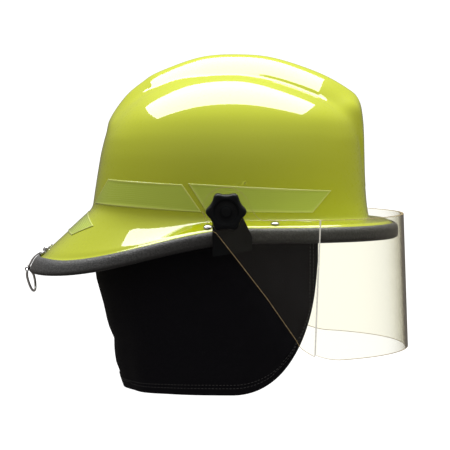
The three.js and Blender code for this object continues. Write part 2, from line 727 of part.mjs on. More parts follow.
// A crown strap arches over the head from one key to the opposite one.
function crownStrap(angle, height) {
  const reach = innerWallRadius(angle) - KEY_DEPTH - 0.6;
  const sections = [];
  const steps = 22;
  for (let i = 0; i <= steps; i += 1) {
    const sweep = (i / steps) * Math.PI;
    const at = new THREE.Vector2(reach * Math.cos(sweep), KEY_Z + 2 + height * Math.sin(sweep));
    const out = new THREE.Vector2(Math.cos(sweep) * height, Math.sin(sweep) * reach).normalize();
    const corner = (depth, y) =>
      new THREE.Vector3(at.x - out.x * depth, y, at.y - out.y * depth);
    const half = STRAP_WIDTH / 2;
    sections.push([corner(0, -half), corner(0, half), corner(STRAP_WALL, half), corner(STRAP_WALL, -half)]);
  }
  const strap = loft(sections);
  return strap.rotateZ(THREE.MathUtils.degToRad(angle));
}

function buildCrownStraps() {
  addPiece('crown_strap_left_diagonal', crownStrap(38, 84), webbingBlack);
  addPiece('crown_strap_cross', crownStrap(90, 86.4), webbingBlack);
  addPiece('crown_strap_right_diagonal', crownStrap(142, 88.8), webbingBlack);
  const padProfile = [[0, 100], [34, 98.5], [38, 100.5], [34, 103.5], [0, 106.5]];
  const pad = new THREE.LatheGeometry(padProfile.map(([r, z]) => new THREE.Vector2(r, z)), 20);
  addPiece('crown_pad', pad.rotateX(Math.PI / 2), padFabric);
}

function bandLoft(fromTurn, toTurn, steps, profile) {
  const sections = [];
  for (let i = 0; i <= steps; i += 1) {
    const turn = THREE.MathUtils.lerp(fromTurn, toTurn, i / steps);
    sections.push(profile.map(([offset, z]) => headbandPoint(turn, offset, z)));
  }
  return loft(sections);
}

function buildHeadband() {
  const band = [[0, -2], [HEADBAND_WALL, -2], [HEADBAND_WALL, 30], [0, 30]];
  addPiece('headband', bandLoft(-2.25, 2.25, 36, band), bandNylon);
  const pad = [[-0.5, 0], [-0.5, 28], [-3.5, 27], [-5, 20], [-5, 8], [-3.5, 1]];
  addPiece('brow_pad', bandLoft(-1.2, 1.2, 16, pad), padFabric);
}

// Rear cradle: straight side arms outside the headband, closed by a curved nape strap.
const CRADLE_SIDE = 84;
const CRADLE_REAR = -100;

function cradlePath(offset) {
  const side = CRADLE_SIDE + offset;
  const points = [[-18, side]];
  const corners = 9;
  for (let i = 0; i <= corners; i += 1) {
    const sweep = (i / corners) * (Math.PI / 2);
    points.push([-52 + (CRADLE_REAR + 52 - offset) * Math.sin(sweep), side * Math.cos(sweep) ** 0.8]);
  }
  return points;
}

function buildNapeCradle() {
  const outline = (offset) => {
    const half = cradlePath(offset);
    return [...half, ...half.slice(0, -1).reverse().map(([x, y]) => [x, -y])];
  };
  const strip = polygon([...outline(0), ...outline(2).reverse()]);
  const arms = new THREE.ExtrudeGeometry(strip, { depth: 16, bevelEnabled: false }).translate(0, 0, -9);
  const housing = box(7, 56, 30, CRADLE_REAR - 4.6, 0, -1);
  const bore = new THREE.CylinderGeometry(3.4, 3.4, 30, 16).rotateZ(Math.PI / 2).translate(CRADLE_REAR, 0, -1);
  addPiece('nape_cradle', cut(join(arms, housing), bore), bandNylon);
  const padProfile = [[0, 0], [22, 0], [24, 2], [20, 4.5], [0, 5.5]];
  const pad = new THREE.LatheGeometry(padProfile.map(([r, x]) => new THREE.Vector2(r, x)), 20);
  pad.scale(1.35, 1, 0.62).rotateZ(-Math.PI / 2).rotateX(Math.PI / 2).translate(CRADLE_REAR + 6, 0, -1);
  addPiece('nape_pad', pad, padFabric);
}

function buildRatchetKnob() {
  const outline = new THREE.Shape();
  const points = 36;
  for (let i = 0; i <= points; i += 1) {
    const angle = (i / points) * 2 * Math.PI;
    const radius = 16 + 0.9 * Math.cos(12 * angle);
    if (i) outline.lineTo(radius * Math.cos(angle), radius * Math.sin(angle));
    else outline.moveTo(radius, 0);
  }
  const grip = new THREE.ExtrudeGeometry(outline, { depth: 9, bevelEnabled: false });
  const shaft = new THREE.CylinderGeometry(3, 3, 9, 16).rotateX(Math.PI / 2).translate(0, 0, -4);
  const knob = join(grip, shaft).rotateY(-Math.PI / 2).translate(CRADLE_REAR - 8.6, 0, -1);
  addPiece('ratchet_knob', knob, mouldedBlack);
}

// ---------- chin strap ----------

const CHIN_X = 5;
const CHIN_SIDE = 93;
const LOOP_SIDE = 95;
const CHIN_DROP = 136;
const CHIN_TOP = -4;

function chinStrapPoint(sweep) {
  return new THREE.Vector2(
    CHIN_SIDE * signedPower(Math.cos(sweep), 0.7),
    CHIN_TOP - CHIN_DROP * Math.abs(Math.sin(sweep)) ** 0.7,
  );
}

function chinWebbing(fromSweep, toSweep) {
  const sections = [];
  const steps = 16;
  const half = STRAP_WIDTH / 2;
  for (let i = 0; i <= steps; i += 1) {
    const sweep = THREE.MathUtils.lerp(fromSweep, toSweep, i / steps);
    const at = chinStrapPoint(sweep);
    const along = chinStrapPoint(sweep + 0.01).sub(chinStrapPoint(sweep - 0.01)).normalize();
    const corner = (x, depth) =>
      new THREE.Vector3(CHIN_X + x, at.x - along.y * depth, at.y + along.x * depth);
    sections.push([corner(-half, 0), corner(half, 0), corner(half, STRAP_WALL), corner(-half, STRAP_WALL)]);
  }
  return loft(sections);
}

function buildChinStrap() {
  addPiece('chin_strap_left', chinWebbing(0.03, 1.28), webbingBlack);
  addPiece('chin_strap_right', chinWebbing(Math.PI - 0.03, Math.PI - 1.28), webbingBlack);
  const z = CHIN_TOP - CHIN_DROP;
  const socket = cut(box(28, 30, 9, CHIN_X, 16, z), box(20, 24, 4.6, CHIN_X, 11, z));
  addPiece('buckle_socket', socket, mouldedBlack);
  const tongue = join(box(28, 16, 8, CHIN_X, -8, z), box(17, 18, 3.6, CHIN_X, 8, z));
  addPiece('buckle_tongue', tongue, mouldedBlack);
  for (const [label, side] of [['right', -1], ['left', 1]]) {
    const loop = cut(box(30, 3, 20, CHIN_X, side * LOOP_SIDE, CHIN_TOP),
      box(21, 9, 5, CHIN_X, side * LOOP_SIDE, CHIN_TOP - 4));
    addPiece(`chin_strap_loop_${label}`, loop, mouldedBlack);
  }
}

buildShell();
buildEdgeTrim();
buildReflectivePanels();
buildVisor();
for (const [label, side] of [['right', -1], ['left', 1]]) {
  buildBracket(label, side);
  buildPivot(label, side);
  buildKnob(label, side);
}
buildRivets();
buildRingClip();
buildDRing();
buildCurtain();
buildImpactLiner();
buildSuspensionKeys();
buildCrownStraps();
buildHeadband();
buildNapeCradle();
buildRatchetKnob();
buildChinStrap();

export default helmet;
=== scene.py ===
import math

import bmesh
import bpy
import numpy as np
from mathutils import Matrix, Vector


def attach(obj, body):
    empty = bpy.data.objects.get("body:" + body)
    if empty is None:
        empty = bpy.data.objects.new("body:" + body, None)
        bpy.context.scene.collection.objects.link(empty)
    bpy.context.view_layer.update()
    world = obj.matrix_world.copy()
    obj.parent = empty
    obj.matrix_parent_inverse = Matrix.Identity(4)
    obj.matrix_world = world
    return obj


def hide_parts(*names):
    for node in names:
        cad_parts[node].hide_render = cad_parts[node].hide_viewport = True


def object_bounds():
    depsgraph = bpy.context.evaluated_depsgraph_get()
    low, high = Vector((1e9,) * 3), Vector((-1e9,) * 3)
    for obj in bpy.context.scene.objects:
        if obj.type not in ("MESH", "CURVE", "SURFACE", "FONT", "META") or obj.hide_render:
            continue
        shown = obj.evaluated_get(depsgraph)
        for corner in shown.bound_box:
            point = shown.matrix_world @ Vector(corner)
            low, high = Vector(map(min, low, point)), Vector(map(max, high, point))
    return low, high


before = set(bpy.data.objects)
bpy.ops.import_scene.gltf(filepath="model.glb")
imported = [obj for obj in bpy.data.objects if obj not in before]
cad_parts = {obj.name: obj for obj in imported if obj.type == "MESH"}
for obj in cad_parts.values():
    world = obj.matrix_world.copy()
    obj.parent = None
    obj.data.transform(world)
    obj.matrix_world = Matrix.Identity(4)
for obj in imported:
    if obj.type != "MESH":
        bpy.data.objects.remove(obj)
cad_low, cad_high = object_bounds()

# Lengths are millimetres until a mesh is made. +X is the wearer's front, +Y the left, +Z up.
MM = 0.001
ROOT = "helmet"
SIDES = (("right", -1), ("left", 1))
TAU = 2 * math.pi
HEAD_MIDDLE = np.array([0.0, 0.0, 20.0])

SHELL_WALL = 3.0
LINER_GAP, LINER_DEPTH = 4.2, 15.0
CROWN_SQUARE, TOP_SQUARE = 2.35, 2
RIDGE_CENTRE_Z = 40.0
BRIM_FRONT, BRIM_REAR, BRIM_SIDE, BRIM_SQUARE = 166.0, 198.5, 132.0, 2.4
REAR_DROP, REAR_LEAN = 35.0, 0.45
LIP_INSET, LIP_HEIGHT, LIP_ROLL = 6.5, 9.0, 1.2
FOOT_CURVE, FOOT_STEEP, BRIM_DISH = 0.05, 1.7, 0.8
RIVET_SHARE = 0.68
PIVOT_X, PIVOT_Z = -5.0, 24.0
VISOR_WALL, VISOR_SIDE = 2.5, 139.5
VISOR_TOP, VISOR_BOTTOM, VISOR_RIM = 15.5, -116.5, 0.35
VISOR_CENTRE_X, VISOR_REACH, VISOR_FLARE = 45, 127, 5
CREASE_X, CREASE_LEAN = 83, 5
EAR_RADIUS = 22.5
NECK_REAR, NECK_FRONT = 15.5, 30
BRACKET_BACK, BRACKET_FACE, BRACKET_SEAT = 132.9, 137.1, 137.5
HOOK_INNER, SCREW_Y = 115.5, 126.5
BOLT_END, KNOB_FACE = 154.5, 159.5
KNUCKLE_X, KNUCKLE_Z = -203.4, -40.4
CURTAIN_FRONT, CURTAIN_SIDE, CURTAIN_TAPER, CURTAIN_SQUARE = 134.5, 102, 7, 2.4
CURTAIN_BOTTOM, CURTAIN_CORNER_X, CURTAIN_CORNER_Z, CURTAIN_ROUND = -155.0, 82, -20, 2.17
CURTAIN_GAP, CURTAIN_INSET = 0.98, 1.2
KEY_Z, KEY_DEPTH = 25, 10
STRAP_WIDTH, STRAP_WALL = 19, 1.5
HEADBAND_FRONT, HEADBAND_HALF, HEADBAND_SQUARE = 99, 78, 2.3
CHIN_X, CHIN_SIDE, CHIN_DROP, CHIN_TOP = 5, 93, 136, -4
CRADLE_REAR = -100

# Crown outlines from foot to top: distance from the middle, and height.
CROWN_FRONT = [(137.4, 11), (135.3, 25), (133.2, 50), (131.2, 75), (129.2, 96), (124, 111),
               (106, 125), (76, 139), (38, 152), (0, 158)]
CROWN_REAR = [(138, 20), (135.5, 38), (132, 60), (128.5, 79), (123, 97), (113, 113), (95, 130),
              (68, 146), (38, 155), (0, 158)]
CROWN_SIDE = [(107, 14), (106.3, 32), (104.5, 56), (101, 78), (94.5, 98), (84, 116), (67, 133),
              (45, 147), (22, 155.5), (0, 158)]
# The ridge's crest line from back to front: X and Z.
RIDGE_TOP = [(-122.6, 86), (-121.4, 106.8), (-105.4, 131.1), (-88, 146), (-71.1, 156.2),
             (-30, 170.5), (9, 173.2), (44.2, 169.4), (87.3, 155.1), (115.5, 139.8), (127, 128.6),
             (131.5, 107.5), (132.7, 75), (132.4, 42)]
# Slope in degrees of the ridge's cross-section, by distance from its crest: a comb over the crown that
# flattens to a low band down the front and the back.
COMB_SLOPE = [(0, 0), (8, 27), (30, 46), (33, 62), (80, 72)]
BAND_SLOPE = [(0, 0), (20, 8), (25, 28), (29, 64), (80, 76)]
# The trim's section: inset and height, over the outside, under, and back up inside its slot; and how far
# out and up some of its corners move over the rear tip, where the channel is fuller.
TRIM_SECTION = [(4.4, 7.3), (2.9, 6.95), (1.5, 6.0), (0.5, 4.3), (0.05, 2.2), (0, 0), (0.02, -3), (0.3, -5),
                (1.1, -6.5), (2.6, -7.3), (4.8, -7.4), (6.8, -7.35), (8.2, -6.6), (9.0, -5.2), (9.2, -3),
                (9.2, 1.4), (8.9, 2.7), (8.3, 3.3), (7.8, 3.0), (7.7, 1.5), (7.7, -3.5), (4.3, -3.5),
                (4.3, 2), (4.3, 6.4), (4.45, 7.1)]
TRIM_FULLER = {0: (0, 1.1), 1: (0, 1.4), 2: (0, 1.4), 3: (0.1, 0.9), 23: (0, 0.6), 24: (0, 1.1)}
# Lower edge of the visor's flat wing: X and Z.
WING_EDGE = [(-14.2, 3.46), (5.7, -22), (33, -57.5), (60.5, -97), (75, -118)]
# Reach of the cloth behind the head, by height: it sags inwards and kinks where it creases.
CURTAIN_REAR = [(-158, 108), (-150, 110.9), (-142, 112.6), (-134, 115.6), (-126, 116.8), (-120, 117.2),
                (-110, 117.4), (-106, 119), (-98, 122.4), (-90, 124.6), (-82, 126.2), (-74, 128),
                (-66, 130.2), (-58, 132.4), (-50, 134.6), (-20, 139), (5, 141)]


# --- curves and surfaces

def spline(points, share):
    """A Catmull-Rom curve through the points, at shares from 0 to 1 of its point count."""
    points = np.asarray(points, float)
    last = len(points) - 1
    spot = np.clip(share, 0, 1) * last
    start = np.minimum(np.floor(spot).astype(int), last - 1)
    t = (spot - start)[..., None]
    p0, p1 = points[np.maximum(start - 1, 0)], points[start]
    p2, p3 = points[start + 1], points[np.minimum(start + 2, last)]
    v0, v1 = (p2 - p0) / 2, (p3 - p1) / 2
    return (2 * p1 - 2 * p2 + v0 + v1) * t ** 3 + (3 * p2 - 3 * p1 - 2 * v0 - v1) * t ** 2 + v0 * t + p1


def signed_power(value, power):
    return np.sign(value) * np.abs(value) ** power


def smoothstep(value):
    value = np.clip(value, 0, 1)
    return value * value * (3 - 2 * value)


def lerp(a, b, share):
    return a + (b - a) * share


def unit(vectors):
    return vectors / np.maximum(np.linalg.norm(vectors, axis=-1, keepdims=True), 1e-9)


def oval(turn, front, rear, half, square, z):
    """Points of a squared oval about the head: its reach ahead and behind, half-width, squareness, height."""
    ahead = np.cos(turn)
    power = 2 / square
    return np.stack(np.broadcast_arrays(np.where(ahead > 0, front, rear) * signed_power(ahead, power),
                                        half * signed_power(np.sin(turn), power), z), axis=-1)


def edge_height(x):
    """Height of the brim edge's centre line: level in front, sweeping down to the rear tip."""
    return -REAR_DROP * smoothstep((20 - x) / 210)


def crown(turn, level):
    """The smooth crown under the ridge: an angle round the head, and a level from 0, foot, to 1, top."""
    turn, level = np.broadcast_arrays(turn, level)
    front, rear, side = (spline(line, level) for line in (CROWN_FRONT, CROWN_REAR, CROWN_SIDE))
    ahead = np.cos(turn)
    end_z = np.where(ahead > 0, front[..., 1], rear[..., 1])
    return oval(turn, front[..., 0], rear[..., 0], side[..., 0], lerp(CROWN_SQUARE, TOP_SQUARE, level),
                side[..., 1] + (end_z - side[..., 1]) * ahead ** 2)


def edge(turn, inset, height):
    """A point near the brim edge: inset from the trim's outer line, height from its centre line."""
    ahead = np.cos(turn)
    middle_x = np.where(ahead > 0, BRIM_FRONT, BRIM_REAR) * signed_power(ahead, 2 / BRIM_SQUARE)
    lean = REAR_LEAN * smoothstep(-middle_x / BRIM_REAR)
    inwards = inset + height * lean
    return oval(turn, BRIM_FRONT - inwards, BRIM_REAR - inwards, BRIM_SIDE - inwards, BRIM_SQUARE,
                edge_height(middle_x) + height)


def brim(turn, share):
    """Top of the brim from the crown's foot to the lip: steep at the foot, then dished along the sides."""
    turn, share = np.broadcast_arrays(turn, share)
    foot, lip = crown(turn, 0.0), edge(turn, LIP_INSET, LIP_HEIGHT)
    surface = lerp(foot, lip, share[..., None])
    sideways = smoothstep(np.sin(turn) ** 2 / 0.7)
    curl = ((1 - np.exp(-share / FOOT_CURVE)) * FOOT_CURVE
            - share * FOOT_CURVE * (1 - math.exp(-1 / FOOT_CURVE)))
    drop = np.maximum(foot[..., 2] - lip[..., 2], 0)
    surface[..., 2] -= FOOT_STEEP * sideways * curl * drop
    surface[..., 2] -= BRIM_DISH * np.minimum(drop / 16, 1) * np.sin(turn) ** 4 * 4 * share * (1 - share)
    surface[..., 2] -= LIP_ROLL * smoothstep((share - 0.84) / 0.16) ** 1.5
    return surface


def outward_normals(grid, ring=False):
    """Normals away from the head of a grid whose second axis may run round a ring."""
    around = (np.roll(grid, -1, axis=1) - np.roll(grid, 1, axis=1)) / 2 if ring else np.gradient(grid, axis=1)
    normals = unit(np.cross(np.gradient(grid, axis=0), around))
    away = grid - HEAD_MIDDLE
    return np.where(np.sum(normals * away, axis=-1, keepdims=True) < 0, -normals, normals)


def arc_lengths(grid, axis):
    steps = np.linalg.norm(np.diff(grid, axis=axis), axis=-1)
    zero = np.zeros_like(np.take(steps, [0], axis=axis))
    return np.cumsum(np.concatenate([zero, steps], axis=axis), axis=axis)


def cloth_uv(grid):
    """UVs in centimetres along a grid, so a weave keeps its real size."""
    return np.stack([arc_lengths(grid, 0), arc_lengths(grid, 1)], axis=-1) / 10


# --- meshes

def linked(name, data):
    obj = bpy.data.objects.new(name, data)
    bpy.context.scene.collection.objects.link(obj)
    return obj


def smooth_shaded(obj):
    obj.data.polygons.foreach_set("use_smooth", [True] * len(obj.data.polygons))
    return obj


def scratch(points, faces, name="scratch", uv=None, slivers=False):
    """A welded mesh from points in millimetres, facing outwards, that rides on nothing yet."""
    mesh = bpy.data.meshes.new(name)
    mesh.from_pydata((np.asarray(points, float).reshape(-1, 3) * MM).tolist(), [], faces)
    if uv is not None:
        layer = mesh.uv_layers.new(name="weave")
        corner = np.array([loop.vertex_index for loop in mesh.loops])
        layer.data.foreach_set("uv", np.asarray(uv, float).reshape(-1, 2)[corner].ravel())
    weld = bmesh.new()
    weld.from_mesh(mesh)
    bmesh.ops.remove_doubles(weld, verts=weld.verts, dist=2e-6)
    if slivers:
        bmesh.ops.dissolve_degenerate(weld, edges=weld.edges, dist=1e-7)
    bmesh.ops.recalc_face_normals(weld, faces=weld.faces)
    weld.to_mesh(mesh)
    weld.free()
    return linked(name, mesh)


def make(name, points, faces, material, body=ROOT, node=None, slot=None, uv=None):
    """A piece that rides on a body, and stands for a CAD node when one is named; its slot argument is not
    used.
    """
    obj = smooth_shaded(scratch(points, faces, name, uv, slivers=True))
    obj.data.materials.append(material)
    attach(obj, body)
    if node:
        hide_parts(node)
    return obj


def quads(rows, columns, wrap_rows=False):
    """Faces of a grid whose columns run round a ring, as its rows may do too."""
    i, j = np.meshgrid(np.arange(rows if wrap_rows else rows - 1), np.arange(columns), indexing="ij")
    i, j = i.ravel(), j.ravel()
    down, across = (i + 1) % rows, (j + 1) % columns
    return np.stack([i * columns + j, down * columns + j,
                     down * columns + across, i * columns + across], axis=1).tolist()


def slab(name, outer, inner, material, uv=None, **options):
    """A closed sheet with thickness: two grids of the same shape, joined round their border."""
    rows, columns = outer.shape[:2]
    loop = np.concatenate([outer, inner[:, ::-1]], axis=1)
    faces = quads(rows, 2 * columns)
    for row in (0, rows - 1):
        start = row * 2 * columns
        for j in range(columns - 1):
            cap = [start + j, start + j + 1, start + 2 * columns - 2 - j, start + 2 * columns - 1 - j]
            faces.append(cap if row else cap[::-1])
    if uv is not None:
        uv = np.concatenate([uv, uv[:, ::-1]], axis=1)
    return make(name, loop, faces, material, uv=uv, **options)


def wire_loop(name, path, radius, material, sides=16, **options):
    """A round wire along a closed path of points, with frames carried along it."""
    along = unit(np.roll(path, -1, axis=0) - np.roll(path, 1, axis=0))
    normal = unit(np.cross(along[0], [0.3, 0.2, 0.9]))
    angles = np.arange(sides)[:, None] * TAU / sides
    rings = []
    for point, direction in zip(path, along):
        normal = unit(normal - direction * np.dot(normal, direction))
        side = np.cross(direction, normal)
        rings.append(point + radius * (np.cos(angles) * normal + np.sin(angles) * side))
    faces = quads(len(path), sides)
    # close the twist that the carried frame leaves
    first, last = rings[0] - path[0], rings[-1] - path[-1]
    shift = int(np.argmax([np.sum(first * np.roll(last, s, axis=0)) for s in range(sides)]))
    base = (len(path) - 1) * sides
    for j in range(sides):
        faces.append([base + (j - shift) % sides, j, (j + 1) % sides, base + (j + 1 - shift) % sides])
    return make(name, rings, faces, material, **options)


def turned(profile, segments, at=(0, 0, 0), axis=(0, 0, 1), spin=(1, 0, 0), scale=(1, 1, 1)):
    """Points and faces of a profile of radius and height, turned about an axis that stands at a place."""
    profile = np.asarray(profile, float)
    angles = np.arange(segments) * TAU / segments
    points = np.stack([profile[:, None, 0] * np.cos(angles), profile[:, None, 0] * np.sin(angles),
                       np.repeat(profile[:, None, 1], segments, axis=1)], axis=-1) * np.array(scale)
    axis = unit(np.asarray(axis, float))
    first = unit(np.asarray(spin, float) - axis * np.dot(spin, axis))
    points = (points[..., :1] * first + points[..., 1:2] * np.cross(axis, first) + points[..., 2:] * axis
              + np.asarray(at, float))
    return points, quads(len(profile), segments)


def make_turned(name, profile, segments, at, axis, material, **options):
    return make(name, *turned(profile, segments, at, axis), material, **options)


def prism(outline, start, end, side):
    """A scratch solid with a flat outline in X and Z, between two distances out to one side."""
    count = len(outline)
    ends = [(x, y, z) for y in sorted((side * start, side * end)) for x, z in outline]
    faces = [list(range(count)), list(range(2 * count - 1, count - 1, -1))]
    faces += [[i, i + count, (i + 1) % count + count, (i + 1) % count] for i in range(count)]
    return scratch(ends, faces)


def drill(side, start, end, radius):
    """A scratch cylinder on the visor's pivot, between two distances out to one side."""
    profile = [(0, start), (radius, start), (radius, end), (0, end)]
    return scratch(*turned(profile, 40, (PIVOT_X, 0, PIVOT_Z), (0, side, 0)))


def bake(obj, kind, **settings):
    """Add a modifier and put its result in the mesh."""
    added = obj.modifiers.new(kind.lower(), kind)
    for key, value in settings.items():
        setattr(added, key, value)
    depsgraph = bpy.context.evaluated_depsgraph_get()
    baked = bpy.data.meshes.new_from_object(obj.evaluated_get(depsgraph), depsgraph=depsgraph)
    obj.modifiers.clear()
    obj.data = baked


def bevel(obj, width, segments, angle):
    bake(obj, "BEVEL", width=width * MM, segments=segments, limit_method="ANGLE",
         angle_limit=math.radians(angle), use_clamp_overlap=True)
    bake(smooth_shaded(obj), "WEIGHTED_NORMAL", keep_sharp=True)


def combine(obj, others, operation="UNION"):
    for other in others:
        bake(obj, "BOOLEAN", object=other, operation=operation, solver="EXACT")
        bpy.data.objects.remove(other)


# --- materials

class Nodes:
    """Short ways to add shader nodes to a tree."""

    def __init__(self, tree):
        self.tree = tree

    def node(self, kind, inputs=(), **settings):
        made = self.tree.nodes.new(kind)
        for key, value in settings.items():
            setattr(made, key, value)
        for key, value in dict(inputs).items():
            if isinstance(value, bpy.types.NodeSocket):
                self.tree.links.new(value, made.inputs[key])
            else:
                made.inputs[key].default_value = value
        return made

    def where(self, space="Object"):
        return self.node("ShaderNodeTexCoord").outputs[space]

    def axes(self, vector):
        return self.node("ShaderNodeSeparateXYZ", {0: vector}).outputs

    def math(self, operation, a, b=0.0, c=0.0):
        return self.node("ShaderNodeMath", {0: a, 1: b, 2: c}, operation=operation).outputs[0]

    def spread(self, value, low, high, to_low=0.0, to_high=1.0):
        return self.node("ShaderNodeMapRange", {"Value": value, "From Min": low, "From Max": high,
                                                "To Min": to_low, "To Max": to_high}).outputs[0]

    def blend(self, share, a, b):
        a, b = ((*value, 1) if isinstance(value, tuple) else value for value in (a, b))
        return self.node("ShaderNodeMix", {0: share, 6: a, 7: b}, data_type="RGBA").outputs[2]


class Finish(Nodes):
    """A Principled material with a few short ways to shade it."""

    def __init__(self, name, color, roughness, **sockets):
        self.material = bpy.data.materials.new(name)
        self.material.use_nodes = True
        super().__init__(self.material.node_tree)
        self.shader = self.tree.nodes["Principled BSDF"]
        self.shader.inputs["Base Color"].default_value = (*color, 1)
        self.shader.inputs["Roughness"].default_value = roughness
        for key, value in sockets.items():
            self.shader.inputs[key.replace("_", " ").title().replace("Ior", "IOR")].default_value = value

    def stretched(self, vector, scale):
        return self.node("ShaderNodeMapping", {"Vector": vector, "Scale": scale}).outputs[0]

    def noise(self, scale, detail=3.0, rough=0.5, vector=None):
        return self.node("ShaderNodeTexNoise", {"Vector": vector or self.where(), "Scale": scale,
                                                "Detail": detail, "Roughness": rough}).outputs[0]

    def cells(self, scale, vector=None, feature="F1", randomness=1.0):
        return self.node("ShaderNodeTexVoronoi", {"Vector": vector or self.where(), "Scale": scale,
                                                  "Randomness": randomness}, feature=feature).outputs[0]

    def color(self, share, a, b):
        self.tree.links.new(self.blend(share, a, b), self.shader.inputs["Base Color"])

    def roughness(self, *spread):
        self.tree.links.new(self.spread(*spread), self.shader.inputs["Roughness"])

    def bump(self, height, distance, strength=1.0):
        made = self.node("ShaderNodeBump", {"Height": height, "Strength": strength,
                                            "Distance": distance * MM})
        before = self.shader.inputs["Normal"].links
        if before:
            self.tree.links.new(before[0].from_socket, made.inputs["Normal"])
        self.tree.links.new(made.outputs[0], self.shader.inputs["Normal"])

    def weave(self, per_cm, depth):
        """Over-and-under threads on UVs that are in centimetres."""
        warp, weft = (self.math("MULTIPLY", way, per_cm * math.pi) for way in self.axes(self.where("UV"))[:2])
        crossing = self.math("MULTIPLY", self.math("SINE", warp), self.math("SINE", weft))
        threads = self.math("MAXIMUM", self.math("ABSOLUTE", self.math("COSINE", warp)),
                            self.math("ABSOLUTE", self.math("COSINE", weft)))
        height = self.math("MULTIPLY_ADD", crossing, 0.5, threads)
        self.bump(height, depth)
        return height


def shell_finish():
    gloss = Finish("shell_gloss", (0.56, 0.60, 0.006), 0.3, coat_weight=1.0, coat_roughness=0.02,
                   coat_ior=1.85, specular_ior_level=0.05)
    gloss.color(gloss.spread(gloss.noise(9.0, 2.0), 0.3, 0.7), (0.52, 0.585, 0.005), (0.55, 0.61, 0.008))
    gloss.roughness(gloss.noise(260.0, 4.0), 0.35, 0.75, 0.26, 0.36)
    gloss.bump(gloss.noise(420.0, 2.0), 0.02, 0.35)
    return gloss.material


def trim_finish():
    vinyl = Finish("trim_vinyl", (0.05, 0.051, 0.056), 0.55, ior=1.5, specular_ior_level=0.6)
    grain = vinyl.cells(620.0, feature="DISTANCE_TO_EDGE")
    speckle = vinyl.noise(600.0, 2.0)
    upward = vinyl.axes(vinyl.node("ShaderNodeNewGeometry").outputs["Normal"])[2]
    # painted light: the upward-facing top is painted paler, as if lit by the softbox, and the underside is
    # painted near black as shade
    tone = vinyl.math("MULTIPLY", vinyl.spread(speckle, 0.40, 0.62, 0.5, 1.0),
                      vinyl.spread(upward, -0.25, 0.75, 0.10, 1.0))
    vinyl.color(tone, (0.005, 0.0056, 0.0075), (0.115, 0.117, 0.12))
    vinyl.roughness(speckle, 0.3, 0.7, 0.5, 0.28)
    vinyl.bump(grain, 0.5, 0.9)
    vinyl.bump(speckle, 0.6, 0.7)
    return vinyl.material


def reflective_finish():
    film = Finish("reflective_film", (0.45, 0.57, 0.05), 0.28, coat_weight=1.0, coat_roughness=0.06)
    uv = film.where("UV")
    ribs = film.cells(5.2, uv, "DISTANCE_TO_EDGE", 0.0)
    rim = film.node("ShaderNodeAttribute", attribute_name="rim").outputs["Fac"]
    ribbed = film.blend(film.spread(ribs, 0.0, 0.08), (0.62, 0.74, 0.10), (0.52, 0.66, 0.06))
    film.color(rim, ribbed, (0.68, 0.76, 0.15))
    film.roughness(film.cells(5.2, uv, randomness=0.0), 0.1, 0.6, 0.18, 0.4)
    film.bump(ribs, 0.08, 0.4)
    return film.material


def visor_finish():
    """Pale amber sheet: the tint deepens where it is looked through at a slant, partly for the longer path
    through the sheet and partly as painted shade for the light reflected away there; the dark brown at its
    edges is painted shade.
    """
    clear = Finish("visor_polycarbonate", (0.99, 0.98, 0.90), 0.01, transmission_weight=1.0, ior=1.32)
    slant = clear.node("ShaderNodeLayerWeight", {"Blend": 0.5}).outputs["Facing"]
    middle = clear.blend(clear.spread(slant, 0.55, 0.86), (0.997, 0.99, 0.91), (0.94, 0.90, 0.70))
    clear.color(clear.spread(slant, 0.82, 0.92), middle, (0.20, 0.15, 0.06))
    clear.roughness(clear.noise(60.0, 2.0), 0.35, 0.75, 0.004, 0.016)
    clear.bump(clear.noise(9.0, 1.0), 0.05, 0.2)
    return clear.material


def milky_finish_with_painted_glow(name, color, rough, clear, glow, strength, dark, pale, polish):
    """Plastic that scatters light, for the visor's sawn rim and its stretched fold; its emission is a painted
    highlight, a glow along them.
    """
    milk = Finish(name, color, rough, transmission_weight=clear, ior=1.45, emission_color=(*glow, 1.0),
                  emission_strength=strength)
    milk.color(milk.noise(300.0), dark, pale)
    milk.roughness(milk.noise(500.0, 4.0), 0.3, 0.7, *polish)
    return milk.material


def moulded_finish(name, color, rough):
    plastic = Finish(name, color, rough, specular_ior_level=0.24)
    plastic.color(plastic.spread(plastic.noise(35.0), 0.3, 0.7), color,
                  tuple(1.6 * part + 0.001 for part in color))
    plastic.roughness(plastic.noise(90.0, 4.0), 0.3, 0.75, rough - 0.06, rough + 0.14)
    plastic.bump(plastic.noise(900.0), 0.12, 0.35)
    return plastic.material


def chrome_finish():
    metal = Finish("bright_steel", (0.78, 0.78, 0.79), 0.14, metallic=1.0)
    wear = metal.noise(300.0, 6.0, 0.7)
    metal.roughness(wear, 0.35, 0.8, 0.08, 0.3)
    metal.color(metal.spread(wear, 0.5, 0.8), (0.80, 0.80, 0.81), (0.52, 0.52, 0.52))
    metal.bump(metal.noise(900.0, 2.0, vector=metal.stretched(metal.where(), (1, 12, 1))), 0.02, 0.3)
    return metal.material


def cloth_finish():
    cloth = Finish("protector_cloth", (0.006, 0.006, 0.0075), 0.86, sheen_weight=0.02, sheen_roughness=0.45,
                   specular_ior_level=0.1)
    threads = cloth.weave(13.0, 0.16)
    slub = cloth.noise(60.0, 5.0, vector=cloth.stretched(cloth.where("UV"), (0.3, 6.0, 1)))
    shade = cloth.math("MULTIPLY", cloth.spread(threads, 0.4, 1.5, 0.55, 1.0),
                       cloth.spread(slub, 0.3, 0.7, 0.75, 1.25))
    cloth.color(shade, (0.0014, 0.0014, 0.0024), (0.0085, 0.0083, 0.012))
    cloth.roughness(slub, 0.3, 0.7, 0.78, 0.92)
    cloth.bump(cloth.noise(25.0), 0.9, 0.25)
    return cloth.material


